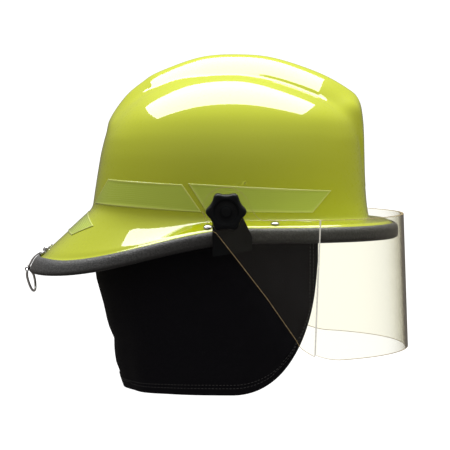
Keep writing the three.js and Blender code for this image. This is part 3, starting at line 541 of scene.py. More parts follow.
def webbing_finish():
    strap = Finish("webbing", (0.016, 0.016, 0.018), 0.72, sheen_weight=0.2, sheen_roughness=0.4)
    strap.color(strap.spread(strap.weave(6.5, 0.3), 0.4, 1.5), (0.006, 0.006, 0.007), (0.026, 0.026, 0.029))
    strap.roughness(strap.noise(120.0), 0.3, 0.7, 0.62, 0.8)
    return strap.material


def pad_finish():
    knit = Finish("comfort_knit", (0.03, 0.031, 0.034), 0.9, sheen_weight=0.35, sheen_roughness=0.5)
    loops = knit.cells(620.0, randomness=0.35)
    knit.color(knit.spread(loops, 0.0, 0.7), (0.045, 0.046, 0.05), (0.012, 0.012, 0.014))
    knit.roughness(knit.noise(80.0), 0.3, 0.7, 0.82, 0.95)
    knit.bump(loops, 0.5, 0.7)
    return knit.material


def foam_finish():
    foam = Finish("impact_foam", (0.23, 0.23, 0.22), 0.93)
    beads = foam.cells(330.0, feature="SMOOTH_F1")
    foam.color(foam.spread(beads, 0.1, 0.7), (0.28, 0.28, 0.265), (0.15, 0.15, 0.145))
    foam.roughness(foam.noise(40.0), 0.3, 0.7, 0.88, 0.97)
    foam.bump(beads, 0.5, 0.6)
    return foam.material


def thread_finish():
    thread = Finish("seam_thread", (0.045, 0.045, 0.05), 0.7)
    thread.color(thread.noise(400.0), (0.03, 0.03, 0.034), (0.07, 0.07, 0.076))
    thread.bump(thread.noise(1500.0), 0.1, 0.5)
    return thread.material


SHELL = shell_finish()
VINYL = trim_finish()
FILM = reflective_finish()
CLEAR = visor_finish()
# the rim's faint emission and the fold's stronger one paint highlight lines along the sheet's sawn edges and
# down its fold
CLEAR_RIM = milky_finish_with_painted_glow("visor_rim", (0.60, 0.42, 0.14), 0.22, 0.42, (1.0, 0.82, 0.55), 0.06,
                         (0.50, 0.34, 0.12), (0.70, 0.55, 0.26), (0.12, 0.34))
CLEAR_FOLD = milky_finish_with_painted_glow("visor_fold", (0.50, 0.49, 0.43), 0.3, 0.12, (1.0, 0.97, 0.88), 0.3,
                          (0.44, 0.43, 0.37), (0.56, 0.55, 0.49), (0.2, 0.4))
BLACK = moulded_finish("moulded_black", (0.0012, 0.0026, 0.0045), 0.42)
NYLON = moulded_finish("satin_nylon", (0.022, 0.023, 0.026), 0.36)
CHROME = chrome_finish()
CLOTH = cloth_finish()
WEBBING = webbing_finish()
KNIT = pad_finish()
FOAM = foam_finish()
THREAD = thread_finish()


# --- shell and trim

def fall_away(slopes, y):
    """Depth below a crest at each half-width, from slopes in degrees."""
    steps = np.linspace(0, 80, 801)
    slope = np.tan(np.radians(np.interp(steps, *zip(*slopes))))
    return np.interp(y, steps, np.cumsum(slope) * 0.1)


def smooth_max(a, b, width):
    return np.maximum(a, b) + width * np.log1p(np.exp(-np.abs(a - b) / width))


def raise_ridge(points):
    """Lift the crown's points onto the raised band that runs from back to front."""
    line = spline(RIDGE_TOP, np.linspace(0, 1, 500))
    along = unit(np.gradient(line, axis=0))
    angle = np.arctan2(line[:, 1] - RIDGE_CENTRE_Z, line[:, 0])
    reach = np.hypot(line[:, 0], line[:, 1] - RIDGE_CENTRE_Z)
    order = np.argsort(angle)
    x, y, z = points[..., 0], np.abs(points[..., 1]), points[..., 2] - RIDGE_CENTRE_Z
    distance = np.maximum(np.hypot(x, z), 1e-6)
    here = np.arctan2(z, x)
    ridge = np.interp(here, angle[order], reach[order], left=0, right=0)
    comb = smoothstep((np.interp(here, angle[order], along[order, 0]) - 0.3) / 0.5)
    drop = lerp(fall_away(BAND_SLOPE, y), fall_away(COMB_SLOPE, y), comb)
    scale = smooth_max(distance, ridge - drop, 1.1) / distance
    return np.stack([x * scale, points[..., 1], z * scale + RIDGE_CENTRE_Z], axis=-1)


def soften_shoulders(rows):
    """Round the corners where the ridge's sides turn down the front of the crown."""
    x, y, z = rows[..., 0], np.abs(rows[..., 1]), rows[..., 2]
    share = smoothstep((np.abs(x) - 82) / 25) * smoothstep((z - 88) / 15) * smoothstep((y - 7) / 9)
    for _ in range(40):
        middle = (np.roll(rows, 1, axis=1) + np.roll(rows, -1, axis=1)) / 4
        middle[1:-1] += (rows[2:] + rows[:-2]) / 4
        middle[0], middle[-1] = rows[0], rows[-1]
        rows = lerp(rows, middle, 0.7 * share[..., None])
    return rows


def build_shell():
    columns, crown_rows, brim_rows = 360, 126, 26
    turn = np.arange(columns) * TAU / columns
    rows = soften_shoulders(raise_ridge(crown(turn[None, :], np.linspace(1, 0, crown_rows)[:, None])))
    slope = [brim(turn, np.full(columns, share)) for share in np.linspace(0, 1, brim_rows + 1)[1:]]
    surface = np.concatenate([rows, np.stack(slope)])
    first, last = crown_rows - 7, crown_rows + 6
    for _ in range(16):
        beside = surface[first - 1:last - 1] + surface[first + 1:last + 1]
        surface[first:last] = 0.5 * surface[first:last] + 0.25 * beside
    inner = surface - SHELL_WALL * outward_normals(surface, ring=True)
    inner[0] = inner[1].mean(axis=0)
    surface[0] = surface[1].mean(axis=0)
    lip = np.stack([edge(turn, inset, height) for inset, height in
                    ((5.8, 7.4), (5.1, 7.0), (4.8, 6.2), (4.8, 3), (4.8, -2.6), (5.1, -3), (6.9, -3),
                     (7.2, -2.6), (7.2, 2), (7.2, 5.4))])
    # the hidden inner wall needs only every other row
    whole = np.concatenate([surface, lip, inner[::2][::-1]])
    make("shell_moulding", whole, quads(len(whole), columns), SHELL, node="shell")


def build_trim():
    turn = np.arange(420) * TAU / 420
    tip = smoothstep((-np.cos(turn) - 0.8) / 0.15)
    rows = []
    for corner, (inset, height) in enumerate(TRIM_SECTION):
        out, up = TRIM_FULLER.get(corner, (0, 0))
        rows.append(edge(turn, inset - out * tip, height + up * tip))
    rows = np.stack(rows, axis=1)
    make("edge_trim_channel", rows, quads(*rows.shape[:2], wrap_rows=True), VINYL, node="edge_trim")


# --- reflective panels

def crown_side(x, z):
    """Half-width of the crown at x and z, found by halving the level."""
    low, high = np.zeros_like(x), np.full_like(x, 0.9)
    for _ in range(30):
        level = (low + high) / 2
        reach = np.where(x > 0, spline(CROWN_FRONT, level)[..., 0], spline(CROWN_REAR, level)[..., 0])
        ahead = signed_power(x / reach, lerp(CROWN_SQUARE, TOP_SQUARE, level) / 2)
        turn = np.arccos(np.clip(ahead, -1, 1))
        under = crown(turn, level)[..., 2] < z
        low, high = np.where(under, level, low), np.where(under, high, level)
    return crown(turn, low)[..., 1]


def panel(name, base, normal, node):
    """A film with a welded rim: sunk edge, raised rim, flat field."""
    along, across = arc_lengths(base, 0), arc_lengths(base, 1)
    from_edge = np.minimum(np.minimum(along, along[-1:] - along), np.minimum(across, across[:, -1:] - across))
    lift = 0.25 + 0.55 * smoothstep(from_edge / 0.5) - 0.18 * smoothstep((from_edge - 1.6) / 0.5)
    film = slab(name, base + normal * lift[..., None], base + normal * 0.12, FILM, uv=cloth_uv(base),
                node=node)
    rim = 1 - smoothstep((from_edge - 1.5) / 0.4)
    both = np.concatenate([rim, rim[:, ::-1]], axis=1).ravel()
    spot = film.data.attributes.new("rim", "FLOAT", "POINT")
    spot.data.foreach_set("value", both[:len(film.data.vertices)])


def fine_shares(length, step):
    """Shares along a side, closely spaced near both ends, where the film has its rim."""
    border = np.array((0, 0.25, 0.5, 1.0, 1.5, 1.9, 2.3))
    inside = np.linspace(border[-1] + step, length - border[-1] - step, max(int(length / step), 2))
    return np.concatenate([border, inside, length - border[::-1]]) / length


def side_panel(name, corners, side, node):
    rear_top, front_top, front_bottom, rear_bottom = np.array(corners, float)
    u = fine_shares(np.linalg.norm(front_top - rear_top), 3.0)[:, None, None]
    v = fine_shares(np.linalg.norm(rear_top - rear_bottom), 2.5)[None, :, None]
    flat = lerp(lerp(rear_bottom, front_bottom, u), lerp(rear_top, front_top, u), v)
    x, z = flat[..., 0], flat[..., 1]
    step = 0.5
    slope_x = (crown_side(x + step, z) - crown_side(x - step, z)) / (2 * step)
    slope_z = (crown_side(x, z + step) - crown_side(x, z - step)) / (2 * step)
    normal = unit(np.stack([-slope_x, np.ones_like(x), -slope_z], axis=-1))
    mirror = np.array([1, side, 1])
    panel(name, np.stack([x, crown_side(x, z), z], axis=-1) * mirror, normal * mirror, node)


def build_panels():
    rear = [(-119, 51), (-46.5, 47.5), (-28, 21), (-133.5, 26.5)]
    front = [(-41, 48.5), (96, 41), (77.5, 20), (-24, 22)]
    for label, side in SIDES:
        side_panel(f"film_rear_{label}", rear, side, f"reflective_panel_rear_{label}")
        side_panel(f"film_front_{label}", front, side, f"reflective_panel_front_{label}")
    u = lerp(-1, 1, fine_shares(110, 3.0))[:, None]
    v = fine_shares(27, 2.5)[None, :]
    turn = math.pi + np.radians(u * lerp(31, 20, v))
    base = brim(turn, lerp(0.07 + 0.2 * u ** 2, 0.48 + 0.04 * u ** 2, v))
    panel("film_brim", base, outward_normals(base), "reflective_panel_brim")


# --- visor

def visor_bottom(x):
    return VISOR_BOTTOM + 0.008 * np.maximum(0, 105 - x) ** 2


def lowness(z):
    """0 at the visor's top edge, 1 at its bottom edge."""
    return (VISOR_TOP - z) / (VISOR_TOP - VISOR_BOTTOM)


def crease_x(z):
    return CREASE_X - CREASE_LEAN * lowness(z)


def visor_front(sweep, z, wall):
    """The curved front: sweep from -1 at the right fold to 1 at the left one."""
    reach = VISOR_REACH + VISOR_FLARE * lowness(z)
    start = (crease_x(z) - VISOR_CENTRE_X) / reach
    width = (VISOR_SIDE + VISOR_WALL) / np.sqrt(1 - start ** 2)
    angle = sweep * np.arccos(start)
    return np.stack([VISOR_CENTRE_X + (reach - wall) * np.cos(angle), (width - wall) * np.sin(angle), z],
                    axis=-1)


def wing_heights(x):
    """Lowest and highest z of the flat wing at each x: a round ear, a filleted neck and a straight top."""
    dx = np.clip(x - PIVOT_X, -EAR_RADIUS, EAR_RADIUS)
    bow = np.sqrt(EAR_RADIUS ** 2 - dx ** 2)
    ear_end = PIVOT_Z + math.sqrt(EAR_RADIUS ** 2 - (NECK_REAR - PIVOT_X) ** 2)
    neck = np.clip((x - NECK_REAR) / (NECK_FRONT - NECK_REAR), 0, 1)
    top = np.where(x < NECK_REAR, PIVOT_Z + bow, VISOR_TOP + (ear_end - VISOR_TOP) * (1 - neck) ** 2)
    bottom = np.where(x < WING_EDGE[0][0], PIVOT_Z - bow, np.interp(x, *zip(*WING_EDGE)))
    return np.minimum(np.maximum(bottom, visor_bottom(x)), top - 0.05), top


def wing_slant(x):
    """How much taller than wide the rim's band is at the wing's slanting edge."""
    low, _ = wing_heights(x)
    return np.minimum(np.hypot(1, np.gradient(low, x)), 2.5)


def rimmed(z, slant):
    """Move the rows next to the ends close to them, so the sheet gets a narrow rim."""
    tall = z[:, -1:] - z[:, :1]
    z[:, 1:2] = z[:, :1] + np.minimum(VISOR_RIM * slant, tall * 0.1)
    z[:, -2:-1] = z[:, -1:] - np.minimum(VISOR_RIM, tall * 0.1)
    return z


def visor_slot(face):
    """Which of the sheet's finishes a face has: 0 the clear field, 1 the sawn rim or 2 the fold."""
    x, y, z = face.center / MM
    fold = crease_x(z)
    if x > fold + 1.2:
        return int(abs(face.normal.z) > 0.5 or z > VISOR_TOP - VISOR_RIM or z < visor_bottom(x) + VISOR_RIM)
    if x > fold - 0.95:
        return 2 if abs(y) > VISOR_SIDE + VISOR_WALL / 2 else 0
    low, high = wing_heights(np.array([x - 0.5, x, x + 0.5]))
    slant = min(math.hypot(1, low[2] - low[0]), 2.5)
    return int(abs(face.normal.y) < 0.9 or z < low[1] + VISOR_RIM * slant or z > high[1] - VISOR_RIM)


def build_visor():
    share = np.linspace(0, 1, 26)[None, :]
    fold = crease_x(VISOR_TOP)
    ear = PIVOT_X - EAR_RADIUS * np.cos(np.linspace(0, 1, 12) * math.pi / 2)
    blade = np.linspace(PIVOT_X, fold, 62)[1:-1]
    wing_x = np.concatenate([ear + 0.02, blade, [fold - 0.9]])
    low, high = wing_heights(wing_x)
    wing_z = rimmed(lerp(low[:, None], high[:, None], share), wing_slant(wing_x)[:, None])
    # columns lean forward to meet the slanted crease
    lean = np.clip((wing_x[:, None] - 60) / 25, 0, 1) * (crease_x(wing_z) - fold)
    sweep = np.concatenate([[-1, -0.997], np.linspace(-0.98, 0.98, 94), [0.997, 1]])
    bottom = visor_bottom(visor_front(sweep, np.full_like(sweep, VISOR_BOTTOM), 0.0)[..., 0])
    front_z = rimmed(lerp(bottom[:, None], VISOR_TOP, share), np.ones((len(sweep), 1)))
    surfaces = []
    for wall in (0.0, VISOR_WALL):
        y = VISOR_SIDE + VISOR_WALL - wall
        right, left = (np.stack([wing_x[:, None] + lean, np.full_like(wing_z, side * y), wing_z], axis=-1)
                       for _, side in SIDES)
        surfaces.append(np.concatenate([right, visor_front(sweep[:, None], front_z, wall), left[::-1]]))
    sheet = slab("visor_sheet", *surfaces, CLEAR, body="visor", node="visor")
    bores = [drill(side, VISOR_SIDE - 2, VISOR_SIDE + VISOR_WALL + 2, 3.6) for _, side in SIDES]
    combine(sheet, bores, "DIFFERENCE")
    bevel(sheet, 0.5, 2, 50)
    # the rim and fold faces get the finishes whose emission paints highlight lines on the sheet
    sheet.data.materials.append(CLEAR_RIM)
    sheet.data.materials.append(CLEAR_FOLD)
    for face in sheet.data.polygons:
        face.material_index = visor_slot(face)


# --- pivots, brackets and knobs

def build_knob(label, side):
    around = 192
    angle = np.arange(around) * TAU / around
    lobe = 16.0 + 3.0 * (0.5 + 0.5 * np.cos(6 * angle)) ** 1.5
    inner, face = VISOR_SIDE + VISOR_WALL + 0.6, KNOB_FACE
    # radius and y, but inset from the lobes and y over the outside
    bore = [(0.0, inner + 12), (3.4, inner + 12), (3.4, inner)]
    outside = [(1.0, inner), (0.3, inner + 0.3), (0, inner + 1), (0.1, face - 4.2), (0.35, face - 2.4),
               (1.0, face - 1.0), (2.0, face - 0.3), (3.2, face)]
    dish = [(12.2, face), (11.7, face - 0.15), (11.3, face - 0.7), (11.1, face - 1.9), (10.7, face - 2.3),
            (9.0, face - 2.3), (5.6, face - 2.2), (5.2, face - 1.9), (4.9, face - 1.0), (4.5, face - 0.7),
            (3.0, face - 0.6), (0.0, face - 0.5)]
    rows = [(np.full(around, radius), y) for radius, y in bore]
    rows += [(lobe - inset, y) for inset, y in outside]
    rows += [(np.full(around, radius), y) for radius, y in dish]
    rings = [np.stack([PIVOT_X + reach * np.cos(angle), np.full(around, side * y),
                       PIVOT_Z + reach * np.sin(angle)], axis=-1) for reach, y in rows]
    knob = f"knob_{label}"
    make(f"knob_body_{label}", rings, quads(len(rings), around), BLACK, body=knob, node=knob)


def pivot_arc(radius, start, end, count):
    return [(PIVOT_X + radius * math.cos(a), PIVOT_Z + radius * math.sin(a))
            for a in np.linspace(start, end, count)]


def build_bracket(label, side):
    plate = [(-18, 16), (-17.8, 0), (-17.6, -18.4), (-16.6, -18.6), (18.4, -12.9), (19.4, -12.2), (19.4, 0),
             (10.2, 19), *pivot_arc(14.8, -0.33, math.pi + 0.5, 22)]
    seat = pivot_arc(14, 0, TAU * 47 / 48, 48)
    foot = [(-17.6, -18.5), (19.4, -12.5), (19.4, -9.2), (-17.6, -13.2)]
    hook = [(-15, -14), (17, -11), (17, 3), (-15, 2)]
    body, *others = [prism(outline, start, end, side) for outline, start, end in (
        (plate, BRACKET_BACK, BRACKET_FACE), (seat, BRACKET_BACK + 1, BRACKET_SEAT),
        (foot, HOOK_INNER, BRACKET_FACE - 0.5), (hook, HOOK_INNER, HOOK_INNER + 4))]
    combine(body, others)
    bore = drill(side, HOOK_INNER - 9, BRACKET_SEAT + 9, 3.3)
    pocket = [(0, -20), (4.6, -20), (4.6, -13.4), (2.3, -13.4), (2.3, -5), (0, -5)]
    combine(body, [bore, scratch(*turned(pocket, 40, (1, side * SCREW_Y, 0)))], "DIFFERENCE")
    body.name = body.data.name = f"bracket_{label}"
    body.data.materials.append(BLACK)
    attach(body, ROOT)
    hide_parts(f"visor_bracket_{label}")
    bevel(body, 0.6, 3, 40)


def build_bolt(label, side):
    back, seat = BRACKET_BACK, BRACKET_SEAT
    at, axis = (PIVOT_X, 0, PIVOT_Z), (0, side, 0)
    bolt = [(0, back - 4), (6.2, back - 4), (7, back - 3.5), (7, back - 0.8), (6.2, back - 0.35),
            (3, back - 0.35), (3, BOLT_END - 0.6), (2.5, BOLT_END), (0, BOLT_END)]
    make_turned(f"bolt_{label}", bolt, 48, at, axis, CHROME, node=f"pivot_bolt_{label}")
    washer = [(3.4, seat + 0.4), (12.6, seat + 0.4), (13, seat + 0.6), (13, seat + 1.4), (12.6, seat + 1.6),
              (3.4, seat + 1.6)]
    make_turned(f"washer_{label}", washer + washer[:1], 64, at, axis, NYLON, node=f"friction_washer_{label}")


# --- rivets, clip and ring

def domed_rivet(name, at, axis, node, head=4.4, seat=0.5):
    shank, foot = 2.0, -6.0
    dome = [(head * math.cos(a), seat + 0.5 + 2.1 * math.sin(a)) for a in np.linspace(0, math.pi / 2, 9)]
    profile = [(0, foot), (shank - 0.3, foot), (shank, foot + 0.3), (shank, seat), (head - 0.3, seat),
               (head, seat + 0.25), *dome[:-1], (0, dome[-1][1])]
    make_turned(name, profile, 40, at, axis, CHROME, node=node)


def brim_rivet_frame(x, side):
    """Where a brim rivet stands on one side, and the brim's normal there."""
    turn = np.array([math.pi / 2])
    for _ in range(40):
        middle = brim(turn, RIVET_SHARE)[0]
        turn = turn + (middle[0] - x) / 130
    across = unit(edge(turn, LIP_INSET, LIP_HEIGHT)[0] - crown(turn, 0.0)[0])
    normal = unit(np.cross([1, 0, 0], across))
    if normal[2] < 0:
        normal = -normal
    mirror = np.array([1, side, 1])
    return middle * mirror, normal * mirror


def build_rivets():
    for label, side in SIDES:
        for end, x in (("front", 41), ("rear", -22)):
            domed_rivet(f"rivet_{end}_{label}", *brim_rivet_frame(x, side), f"brim_rivet_{end}_{label}")


def rear_brim(x):
    """Height of the brim's top along its middle line behind the crown."""
    start, end = brim(np.array([math.pi, math.pi]), np.array([0.0, 1.0]))
    return lerp(start[2], end[2], (x - start[0]) / (end[0] - start[0]))


def build_clip():
    wall, seat = 1.3, 1.2
    line = [(x, rear_brim(x) + seat) for x in (-178.5, -181.5, -184.5, -187.5)]
    line += [(-191.6, -26.0), (-195.2, -28.3), (-197.9, -31.5), (-199.8, -35), (-201.7, -38.6)]
    line = spline(line, np.linspace(0, 1, 40))
    along = unit(np.gradient(line, axis=0))
    out = np.stack([along[:, 1], -along[:, 0]], axis=-1)
    out = np.where(out[:, :1] > 0, -out, out)
    half = np.full(len(line), 7.0)
    half[:5] = [3.6, 5.4, 6.3, 6.8, 6.95]
    y = half[:, None] * np.linspace(-1, 1, 7)[None, :]
    surfaces = [np.stack(np.broadcast_arrays(flat[:, None, 0], y, flat[:, None, 1]), axis=-1)
                for flat in (line + out * wall, line)]
    bevel(slab("clip_strip", *surfaces, CHROME, node="ring_clip"), 0.3, 2, 50)
    curl = [(1.5, -7), (2.1, -7), (2.4, -6.7), (2.4, 6.7), (2.1, 7), (1.5, 7), (1.5, -7)]
    make_turned("clip_curl", curl, 40, (KNUCKLE_X, 0, KNUCKLE_Z), (0, 1, 0), CHROME, slot="chrome_steel")
    normal = np.array([rear_brim(0) - rear_brim(1), 0, 1])
    rivet_x = -183.4
    domed_rivet("clip_rivet_head", (rivet_x, 0, rear_brim(rivet_x)), normal, "clip_rivet", 3.3, seat + wall)


def build_ring():
    """A D-shaped wire ring that hangs from its straight bar, leaning back by its rest angle."""
    half_loop = [(0, 0), (4, 0), (8, 0), (10.4, -0.7), (12, -3), (12.3, -7), (11.6, -12), (9.4, -17.5),
                 (5.4, -21.6)]
    loop = half_loop + [(0, -23)] + [(-y, drop) for y, drop in half_loop[:0:-1]]
    y, drop = np.array(loop).T
    tilt = math.radians(13)
    twist = 0.18 * (y + 5) * smoothstep(-drop / 9)
    corners = np.stack([KNUCKLE_X + twist - drop * math.sin(tilt), y, KNUCKLE_Z + drop * math.cos(tilt)],
                       axis=-1)
    wrapped = np.concatenate([corners[-3:], corners, corners[:4]])
    shares = (3 + np.arange(160) / 160 * len(corners)) / (len(wrapped) - 1)
    wire_loop("ring_wire", spline(wrapped, shares), 1.2, CHROME, body="d_ring", node="d_ring")


# --- ear and neck protector

def curtain_bottom(x):
    """Height of the cloth's lower edge: level behind, then round and up to its front corners."""
    share = np.clip(x / CURTAIN_CORNER_X, 0, 0.9995)
    bulge = (1 - share ** CURTAIN_ROUND) ** (1 / CURTAIN_ROUND)
    return CURTAIN_CORNER_Z + (CURTAIN_BOTTOM - CURTAIN_CORNER_Z) * bulge


def curtain(turn, z, out):
    """Middle surface of the hanging cloth, moved out square to it by a small distance."""
    fall = np.clip(z / CURTAIN_BOTTOM, 0, 1)
    rear = np.interp(z, *zip(*CURTAIN_REAR)) - CURTAIN_INSET
    base = oval(turn, CURTAIN_FRONT, rear, CURTAIN_SIDE - CURTAIN_TAPER * fall, CURTAIN_SQUARE, z)
    return base + unit(base * np.array([1, 1, 0])) * out[..., None]


def build_protector():
    columns, rows = 300, 96
    turn = np.linspace(CURTAIN_GAP, TAU - CURTAIN_GAP, columns)[:, None]
    top_x = curtain(turn, np.zeros_like(turn), np.zeros_like(turn))[..., 0]
    top_z = np.minimum(2, edge_height(top_x) + 8) - 4 * smoothstep((top_x - 20) / 62)
    z = lerp(top_z, curtain_bottom(top_x), np.linspace(0, 1, rows)[None, :])
    along = np.cumsum(np.full((columns, 1), 2.05), axis=0)
    fall = np.clip(-z / 150, 0, 1)
    back = smoothstep((-np.cos(turn) + 0.1) / 0.8)
    folds = 1.6 * np.sin(along / 23 + 1.3 + 0.6 * fall) + 0.9 * np.sin(along / 11.3 + 2 * fall)
    mid = curtain(turn, z, folds * fall ** 1.3 * (0.35 + 0.65 * back))
    normal = outward_normals(mid)
    down = arc_lengths(mid, 1)
    from_hem = np.minimum(down[:, -1:] - down, np.minimum(along - along[0], along[-1] - along))
    hem = 0.45 * (1 - smoothstep((from_hem - 9.0) / 1.2)) - 0.5 * np.exp(-((from_hem - 8.2) / 0.7) ** 2)
    half = normal * (0.8 + hem)[..., None]
    cloth = slab("neck_protector_cloth", mid + half, mid - half, CLOTH, uv=cloth_uv(mid),
                 node="ear_neck_protector")
    return mid, normal, from_hem


def stitched(name, path, out, slot, pitch=3.4, length=2.3, radius=0.32):
    """A row of short raised threads along a path on a surface."""
    run = arc_lengths(path, 0)
    points, faces = [], []
    for start in np.arange(1.0, run[-1] - length, pitch):
        first, last, up = (np.array([np.interp(at, run, line[:, axis]) for axis in range(3)])
                           for at, line in ((start, path), (start + length, path), (start, out)))
        side = np.cross(unit(last - first), up)
        base = len(points)
        for share, girth in ((0, 0.45), (0.2, 1.0), (0.8, 1.0), (1, 0.45)):
            middle, thick = lerp(first, last, share), girth * radius
            points += [middle + thick * (math.cos(turn) * side + math.sin(turn) * up)
                       for turn in np.arange(6) * TAU / 6]
        faces += [[base + corner for corner in face] for face in quads(4, 6)]
        faces += [[base + j for j in range(6)], [base + 18 + j for j in range(5, -1, -1)]]
    make(name, points, faces, THREAD, slot=slot)


def build_hem(mid, normal, from_hem):
    """Two rows of stitching round the protector's free edges, outside and inside."""
    for row, depth in enumerate((6.0, 8.4)):
        deep = from_hem >= depth
        lowest = deep.shape[1] - 1 - np.argmax(deep[:, ::-1], axis=1)
        spots = [(column, lowest[column]) for column in np.flatnonzero(deep.any(axis=1))]
        (first, first_low), (last, last_low) = spots[0], spots[-1]
        down = [(first, k) for k in range(2, first_low)]
        up = [(last, k) for k in range(last_low - 1, 1, -1)]
        columns, rows = np.array(down + spots + up).T
        for label, side in (("outside", 1), ("inside", -1)):
            out = normal[columns, rows] * side
            stitched(f"hem_stitches_{label}_{row}", mid[columns, rows] + out * 1.15, out, "protector_cloth")


# --- inside: liner, straps and pads

def build_liner():
    turn = np.arange(220) * TAU / 220
    levels = np.concatenate([[1, 0.97], np.linspace(0.93, 0.162, 40)])
    surface = crown(turn[None, :], levels[:, None])
    normal = outward_normals(surface, ring=True)
    normal[0] = normal[1].mean(axis=0)
    outer = surface - normal * LINER_GAP
    inner = surface - normal * LINER_DEPTH
    # the foam's lower edge is rounded over
    hem = [lerp(outer[-1], inner[-1], share) + np.array([0, 0, -drop])
           for share, drop in ((0.04, 0.5), (0.15, 1.1), (0.5, 1.4), (0.85, 1.1), (0.96, 0.5))]
    for grid in (outer, inner):
        grid[0] = grid[0].mean(axis=0)
    rows = np.concatenate([outer, hem, inner[::-1]])
    make("liner_foam", rows, quads(len(rows), len(turn)), FOAM, node="impact_liner")


def inner_wall_radius(angle):
    """Where the shell's inner wall is, looking out from the centre at a compass angle."""
    turn, level = angle, 0.5 / 9  # half a step above the crown's foot
    for _ in range(20):
        x, y, _z = crown(np.array([turn]), level)[0]
        here = math.atan2(y, x)
        turn += 0.8 * math.atan2(math.sin(angle - here), math.cos(angle - here))
    x, y, _z = crown(np.array([turn]), level)[0]
    return math.hypot(x, y) - SHELL_WALL - 2.2 - 5 * abs(math.sin(2 * angle))


def webbing(name, path, side, node):
    """A woven strap along a path: flat in the middle, thinner at its selvedges."""
    normal = unit(np.cross(unit(np.gradient(path, axis=0)), side))
    across = np.array([-1, -0.97, -0.9, -0.6, -0.2, 0.2, 0.6, 0.9, 0.97, 1])
    half = STRAP_WALL / 2 * (1 - 0.55 * np.abs(across) ** 12)
    mid = path[:, None, :] + side * (across * STRAP_WIDTH / 2)[None, :, None]
    ripple = 0.12 * np.cos(arc_lengths(path, 0) / 1.9)[:, None, None] * np.abs(across[None, :, None]) ** 8
    lift = normal[:, None, :] * (half[None, :, None] + ripple * 0.5)
    slab(name, mid + lift, mid - lift, WEBBING, uv=cloth_uv(mid), node=node)


def strap_stitches(name, path, side, out):
    """Two rows of stitching on the face of a strap's end."""
    for row, shift in enumerate((-7.0, 7.0)):
        stitched(f"{name}{row}", path + side * shift + out * (STRAP_WALL / 2), out, "webbing", 2.6, 1.8, 0.3)


def build_crown_straps():
    sweep = np.linspace(0, math.pi, 150)
    straps = (("left_diagonal", 38, 84), ("cross", 90, 86.4), ("right_diagonal", 142, 88.8))
    for label, degrees, height in straps:
        angle = math.radians(degrees)
        reach = inner_wall_radius(angle) - KEY_DEPTH - 0.6
        out = unit(np.stack([np.cos(sweep) * height, np.sin(sweep) * reach], axis=-1))
        level = reach * np.cos(sweep) - out[:, 0] * STRAP_WALL / 2
        rise = KEY_Z + 2 + height * np.sin(sweep) - out[:, 1] * STRAP_WALL / 2
        path = np.stack([level * math.cos(angle), level * math.sin(angle), rise], axis=-1)
        side = np.array([-math.sin(angle), math.cos(angle), 0])
        webbing(f"strap_{label}", path, side, f"crown_strap_{label}")
        inwards = -np.stack([out[:, 0] * math.cos(angle), out[:, 0] * math.sin(angle), out[:, 1]], axis=-1)
        for end, part in (("a", slice(3, 14)), ("b", slice(136, 147))):
            strap_stitches(f"stitches_{label}_{end}", path[part], side, inwards[part])


def build_chin_strap():
    side = np.array([1.0, 0, 0])
    for label, start, end in (("left", 0.03, 1.28), ("right", math.pi - 0.03, math.pi - 1.28)):
        sweep = np.linspace(start, end, 120)
        path = np.stack([np.full_like(sweep, CHIN_X), CHIN_SIDE * signed_power(np.cos(sweep), 0.7),
                         CHIN_TOP - CHIN_DROP * np.abs(np.sin(sweep)) ** 0.7], axis=-1)
        inwards = np.cross(unit(np.gradient(path, axis=0)), side)
        away = np.sum(inwards * (np.array([CHIN_X, 0, -40.0]) - path), axis=1, keepdims=True) < 0
        inwards = np.where(away, -inwards, inwards)
        path = path + inwards * STRAP_WALL / 2
        webbing(f"chin_webbing_{label}", path, side, f"chin_strap_{label}")
        strap_stitches(f"chin_stitches_{label}", path[8:26], side, -inwards[8:26])


def swell(obj, cap, voxel):
    """Blow a pad up as cloth with a little pressure inside, and keep the swell small."""
    bake(obj, "REMESH", mode="VOXEL", voxel_size=voxel * MM, use_smooth_shade=True)
    rest = np.array([vertex.co for vertex in obj.data.vertices])
    cloth = obj.modifiers.new("cloth", "CLOTH")
    cloth.settings.use_pressure = True
    cloth.settings.uniform_pressure_force = 4
    cloth.settings.quality = 5
    cloth.settings.effector_weights.gravity = 0
    cloth.point_cache.frame_start, cloth.point_cache.frame_end = 1, 20
    for frame_number in range(1, 21):
        bpy.context.scene.frame_set(frame_number)
    puffed = obj.evaluated_get(bpy.context.evaluated_depsgraph_get())
    moved = np.array([vertex.co for vertex in puffed.data.vertices]) - rest
    size = np.linalg.norm(moved, axis=1, keepdims=True)
    moved *= np.minimum(1, cap * MM / np.maximum(size, 1e-9))
    obj.modifiers.clear()
    bpy.context.scene.frame_set(1)
    obj.data.vertices.foreach_set("co", (rest + moved).ravel())
    bake(obj, "SMOOTH", factor=0.5, iterations=2)
    bake(obj, "SUBSURF", levels=1, render_levels=1)
    return smooth_shaded(obj)


def brow_line(turn, offset, z):
    """Points on the headband's line across the brow, moved out by an offset."""
    reach = HEADBAND_FRONT + offset
    return oval(turn, reach, reach, HEADBAND_HALF + offset, HEADBAND_SQUARE, z)


